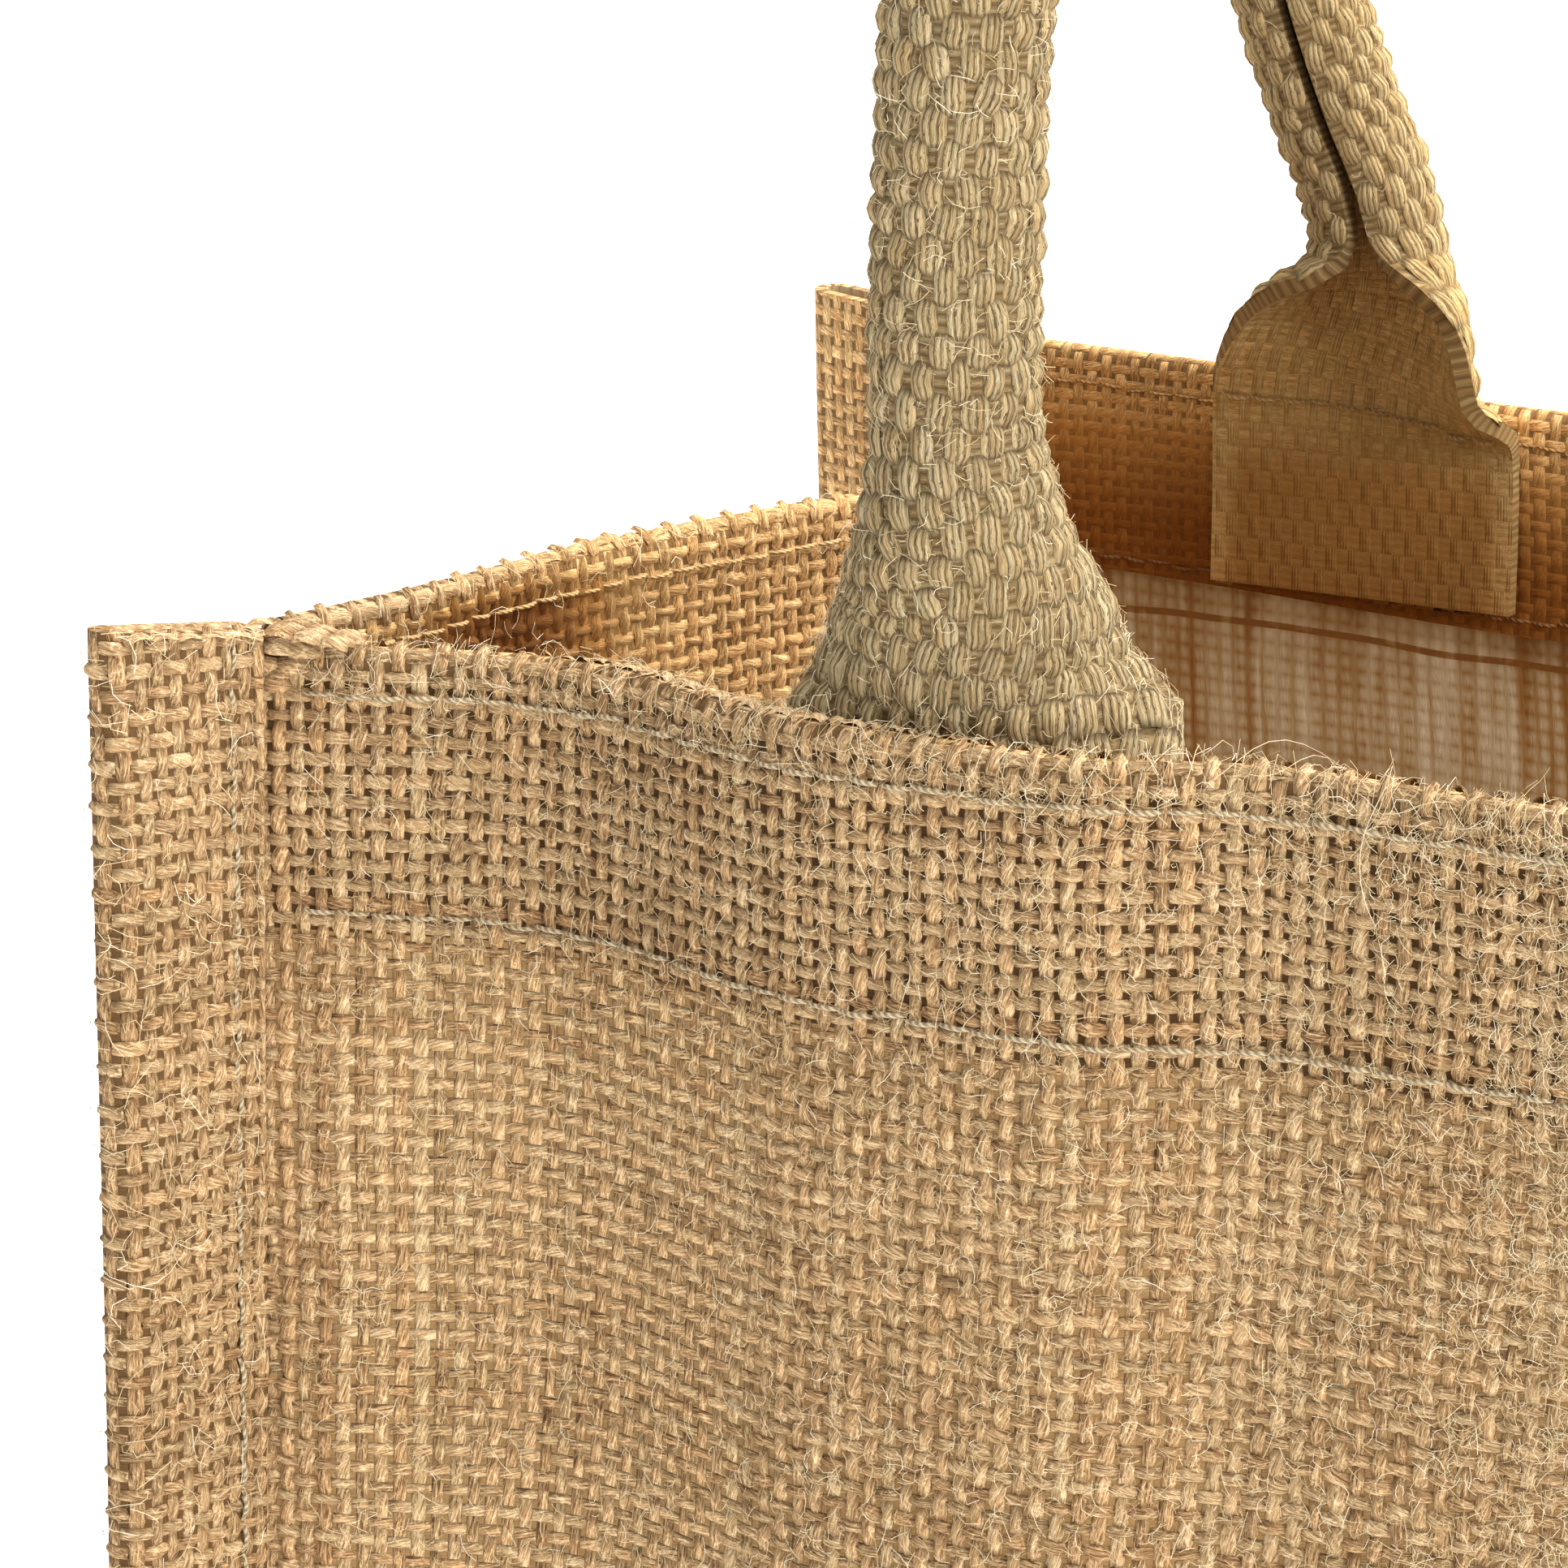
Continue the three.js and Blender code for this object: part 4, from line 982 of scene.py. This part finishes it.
# The rib's ends go down between the weft threads, into shade, painted darker here
end_painted_shade = ("MapRange", ("ABSOLUTE", ("SUBTRACT", own_along, 0.5)), 0.3, 0.48, 0.0, 0.85)
inside = add(tree, "Attribute.inside")
less = add(tree, "SUBTRACT", 1.0, ("MINIMUM", ("MULTIPLY", inside, 1.4), 0.7))
base = add(tree, "Mix.RGBA", ("MULTIPLY", ("MAXIMUM", low, end_painted_shade), less), look, "#5c4727")
bump = add(tree, "Bump", Height=("SUBTRACT", streak, ("MULTIPLY", groove, 2.0)), Strength=less,
           Distance=0.0006)
add(tree, shader, Base_Color=inside_light(tree, base), Normal=bump, Roughness=0.85,
    Specular_IOR_Level=0.25)


def rib_profile(x, y):
    """Four threads side by side, swelling in the middle and dipping at both ends."""
    swell = np.cos(np.pi * 0.86 * x) * (1 - 0.7 * np.abs(2 * y) ** 3)
    return x, y * (1 - 0.24 * np.abs(2 * x) ** 3), swell - 0.32


def sewn_y(end, x):
    """Where the middle of the webbing lies when it is sewn inside the hem."""
    x = np.clip(x, -HALF_WIDTH, HALF_WIDTH)
    return (panel_point(end, x, FOLD_CENTRE)[..., 1]
            - end * WEBBING_CENTRE / np.abs(panel_outward(end, x, FOLD_CENTRE)[..., 1]))


def pale_edge(across):
    """The share of the painted inside shade that is left: the webbing's edges catch more light."""
    return 1 - 0.3 * eased(np.abs(across), 15.2, 16.6)


RIB_SHAPE = raised("rib_shape", 4, 4, rib_profile)
handles = {}
for end, handle_name, middle, route in ((-1, "front", 6.7, FRONT_HANDLE),
                                        (1, "back", -5.8, BACK_HANDLE)):
    left = [(-across, above, roll, -turn) for across, above, roll, turn in route]
    table = np.array(left + route[-2::-1], float)
    run = np.append(0, np.cumsum(np.hypot(np.diff(table[:, 0]), np.diff(table[:, 1]))))
    table = np.column_stack([run, table])
    fine = np.linspace(0, run[-1], 230)
    across, above, roll, turn = (column(table, k, fine) for k in (1, 2, 3, 4))
    x = middle + across
    ends = middle + np.array([-1, 1]) * route[0][0]
    share = np.clip((x - ends[0]) / (ends[1] - ends[0]), 0, 1)
    y = sewn_y(end, ends[0]) * (1 - share) + sewn_y(end, ends[1]) * share
    line = np.stack([x, y, HEIGHT + above], -1)
    along = unit(np.gradient(line, axis=0) * (1, 0, 1))
    inward = np.array([0, -end, 0.0])
    turn = np.radians(turn)[:, None]
    facing = inward * np.cos(-turn) + np.cross(along, inward) * np.sin(-turn)
    sideways = unit(np.cross(facing, along))
    angle = np.radians(np.minimum(roll, ROLL_LIMIT))[:, None]
    radius = WEBBING_WIDTH / angle
    width = np.linspace(-0.5, 0.5, 21)
    bent = angle * width
    follows = (1 - eased(above, 1, 16))[:, None]
    points = line[:, None] + sideways[:, None] * (radius * np.sin(bent))[..., None]
    points[..., 1] += follows * (sewn_y(end, points[..., 0]) - sewn_y(end, x)[:, None])
    points = points + facing[:, None] * (radius * (1 - np.cos(bent)))[..., None]
    sheet = Cloth()
    sheet.weave(sheet.add(points, (width * WEBBING_WIDTH / RIB)[None], (fine / PICK)[:, None]))
    webbing = sheet.piece(f"handle_{handle_name}_webbing", WEBBING_GROUND,
                          [webbing_outside, webbing_inside], flip=True)
    # Painted orange-brown shade on the back handle's flat end inside the bag: most at the bottom,
    # little above the rim
    painted_warm_shade = np.interp(above, [-25, -12, -2, 6, 16], [0.62, 0.5, 0.22, 0.14, 0.05]) * (end > 0)
    across = width * WEBBING_WIDTH
    mark(webbing, [points.shape[:2]], [fine[:, None]], [painted_warm_shade[:, None] * pale_edge(across)])
    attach(webbing, "root")
    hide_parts(f"handle_{handle_name}")

    # The ribs, on the outside wherever the rib's threads are over; inside the roll they are drawn
    i, j = (part.ravel() for part in np.meshgrid(np.arange(-14, 14),
                                                 np.arange(0, int(fine[-1] / PICK))))
    random = np.random.default_rng(31 + end)
    keep = ((i + j) % 2 == 0) & (np.abs((i + 0.5) * RIB) < WEBBING_WIDTH / 2 - 0.4)
    i, j = i[keep], j[keep]
    s, t = (i + 0.5) * RIB, (j + 0.5) * PICK
    spot, normal, side, down = on_sheet(points, across, fine, s, t, -1)
    count = len(s)
    spot = spot + normal * (WEBBING_GROUND / 2) + down * random.normal(0, 0.08, (count, 1))
    # Where the flare stretches the webbing the ribs lie as much further apart, and are longer
    reach = [np.linalg.norm(on_sheet(points, across, fine, s + a, t + b, -1)[0]
                            - on_sheet(points, across, fine, s - a, t - b, -1)[0], axis=-1)
             / (2 * a + 2 * b) for a, b in ((0, PICK / 2), (RIB / 2, 0))]
    size = np.stack([random.uniform(3.4, 4.3, count) * np.clip(reach[0], 0.6, 1.3),
                     random.uniform(2.1, 2.7, count) * np.clip(reach[1], 0.8, 1.15),
                     random.uniform(0.9, 1.45, count)], -1)
    run = unit(down + side * random.normal(0, 0.09, (count, 1)))
    ribs = lay(f"handle_{handle_name}_ribs", RIB_SHAPE, rib_yarn, spot, normal, run, size,
               strand=i + 40.0 + 31 * (j % 3), along=j * 1.0,
               inside=np.interp(t, fine, painted_warm_shade) * pale_edge(s))
    sewn_at = np.interp(-UPPER, above[:60], fine[:60])
    # On the back handle the stitches get painted inside shade
    seams = sew(f"handle_{handle_name}_stitches",
                [((points, across, fine, 1), (-16.8, t), (16.8, t), WEBBING_GROUND / 2 + 0.4,
                  0.36 * (end > 0)) for t in (sewn_at, fine[-1] - sewn_at)], 13)
    handles[end] = (webbing, ribs, seams, points, fine)


# ---------------------------------------------------------------------------------------------
# Loose fibres: jute is a hairy bast fibre, and single bright fibres curl out of its yarns, most of
# all at the rim and along the webbing's edges. Each is a fine tube, 0.05 to 0.07 mm thick.
fibre, tree, shader = new_material("loose_jute_fibre")
shade = add(tree, "ValToRGB", ("TexWhiteNoise.1D", add(tree, "Attribute.strand")), stops=[
    (0.0, "#a98d5e"), (0.4, "#cdb88c"), (0.8, "#e9dab4"), (1.0, "#f6eed6")])
add(tree, shader, Base_Color=shade, Roughness=0.6)

# Gives loose edges the thickness of a fibre
HAIR, given = new_group("thicken_fibres", Lines="Geometry", Radius="Float", Finish="Material")
curve = add(HAIR, "GeometryNodeMeshToCurve", given["Lines"])
ring = add(HAIR, "GeometryNodeCurvePrimitiveCircle", Resolution=3, Radius=given["Radius"])
finish_group(HAIR, add(HAIR, "GeometryNodeCurveToMesh", curve, Profile_Curve=ring,
                       Fill_Caps=True), given["Finish"])


def fibres(name, lines, radius):
    """Makes tubes of lines, an array of (fibre, point, xyz) in millimetres."""
    number, steps = lines.shape[:2]
    index = np.arange(number * steps).reshape(number, steps)
    edges = np.stack([index[:, :-1], index[:, 1:]], -1).reshape(-1, 2)
    mesh = bpy.data.meshes.new(name)
    mesh.from_pydata(((lines.reshape(-1, 3) - FOOTPRINT_MIDDLE) / 1000).tolist(), edges.tolist(),
                     [])
    return built(name, mesh, HAIR, {"Radius": radius / 1000, "Finish": fibre},
                 {"strand": np.repeat(np.arange(number), steps)})


YARN_RISE = 0.42


def curls(grid, lengths, height, free, where_across, where_along, random, steps=3):
    """Curved lines that lie on a cloth or stand off it. free is the share with one loose end."""
    points, across, along, face = grid
    count = len(where_across)
    turn = random.uniform(0, 2 * np.pi, count)
    bend = random.normal(0, 2.4, count)
    length = random.uniform(*lengths, count)
    loose = random.uniform(size=count) < free
    tall = np.abs(random.normal(0, height, count))
    s, t = where_across, where_along
    line = []
    for k in range(steps + 1):
        u = k / steps
        spot, normal, _, _ = on_sheet(points, across, along, s, t, face)
        rise = np.where(loose, tall * 1.6 * u**1.5, tall * np.sin(np.pi * u)) + 0.15
        line.append(spot + normal * (SHELL / 2 + YARN_RISE + rise)[:, None])
        angle = turn + bend * u
        s = s + np.cos(angle) * length / steps * np.where(loose, 0.75, 1)
        t = t + np.sin(angle) * length / steps * np.where(loose, 0.75, 1)
    return np.stack(line, 1)


random = np.random.default_rng(41)
count = 9400
spread = 1 - random.uniform(size=count) ** 1.7
front_curls = curls(front_grid, (0.8, 3.4), 0.25, 0.3, -148 + 126 * spread,
                    2 + 82 * random.uniform(size=count) ** 1.25, random)
rim_curls = curls(front_grid, (1.6, 4.5), 0.6, 0.7, random.uniform(-148, -22, 560),
                  random.uniform(-1.5, 3, 560), random)
front_fibres = fibres("front_fibres", np.concatenate([front_curls, rim_curls]), 0.026)
long_curls = curls(front_grid, (7, 15), 1.6, 0.4, random.uniform(-72, -28, 12),
                   random.uniform(-1, 2, 12), random, 12)
long_fibres = fibres("rim_long_fibres", long_curls, 0.035)
wrap, mouth = side_grids[-1]
flange_curls = curls(wrap, (1.5, 5.0), 0.4, 0.3, random.uniform(wrap[1][0], wrap[1][-1], 520),
                     random.uniform(-1, 98, 520), random)
mouth_curls = curls(mouth, (1.5, 4.0), 0.3, 0.4,
                    random.uniform(mouth[1][0] + 1, mouth[1][0] + 85, 110),
                    random.uniform(-6, 1, 110), random)
side_fibres = fibres("side_fibres", np.concatenate([flange_curls, mouth_curls]), 0.036)
for end, name, count, reach in ((-1, "webbing_fibres_front", 4000, 135),
                                (1, "webbing_fibres_back", 500, handles[1][-1][-1])):
    points, fine = handles[end][3:]
    grid = (points, np.linspace(-0.5, 0.5, points.shape[1]) * WEBBING_WIDTH, fine, -1)
    s = random.uniform(-17.5, 17.5, count)
    s[:count // 3] = np.sign(s[:count // 3]) * 17.6
    lines = curls(grid, (0.9, 3.2), 0.4, 0.6, s,
                  14 + (reach - 14) * random.uniform(size=count) ** 1.3, random)
    fibres(name, lines, 0.03)


# ---------------------------------------------------------------------------------------------
# Camera, light and floor, as for a product shown on white.
camera = new_object("camera", bpy.data.cameras.new("camera"))
camera.location = (0.0818, -0.52975, 0.4210)
camera.rotation_euler = (math.radians(75), 0, math.radians(22))
camera.data.sensor_width = 36
camera.data.lens = 132.43
camera.data.clip_start = 0.01
camera.data.clip_end = 50
bpy.context.scene.camera = camera

# Matt white paint that gives off light, so that the ground stays white in the picture
floor_paint, tree, shader = new_material("pale_floor")
add(tree, shader, Base_Color="#f4f4f2", Roughness=0.8, Emission_Color=(1, 1, 1, 1),
    Emission_Strength=0.9)
floor_mesh = bpy.data.meshes.new("floor")
floor_mesh.from_pydata([(-12, -12, 0), (12, -12, 0), (12, 12, 0), (-12, 12, 0)], [], [(0, 1, 2, 3)])
floor_mesh.materials.append(floor_paint)
floor = new_object("floor", floor_mesh)

for lamp_name, where, size, power, tint in (
        ("key", (1.8, -0.8, 1.15), 1.1, 42, (1, 0.99, 0.97)),
        ("back", (1.4, 1.2, 1.6), 1.4, 70, (1, 1, 1)),
        ("top", (0.2, 0.2, 2.4), 1.4, 80, (1, 1, 1))):
    lamp = new_object(lamp_name, bpy.data.lights.new(lamp_name, "AREA"))
    lamp.data.size = size
    lamp.data.energy = power
    lamp.data.color = tint
    lamp.location = where
    aim = np.array([0, 0, 0.2]) - np.array(where)
    lamp.rotation_euler = (math.atan2(math.hypot(aim[0], aim[1]), -aim[2]), 0,
                           math.atan2(-aim[0], aim[1]))
world = bpy.data.worlds.new("studio")
bpy.context.scene.world = world
world.use_nodes = True
world.node_tree.nodes["Background"].inputs[0].default_value = (1, 1, 1, 1)
world.node_tree.nodes["Background"].inputs[1].default_value = 0.4
bpy.context.scene.view_settings.view_transform = "Standard"
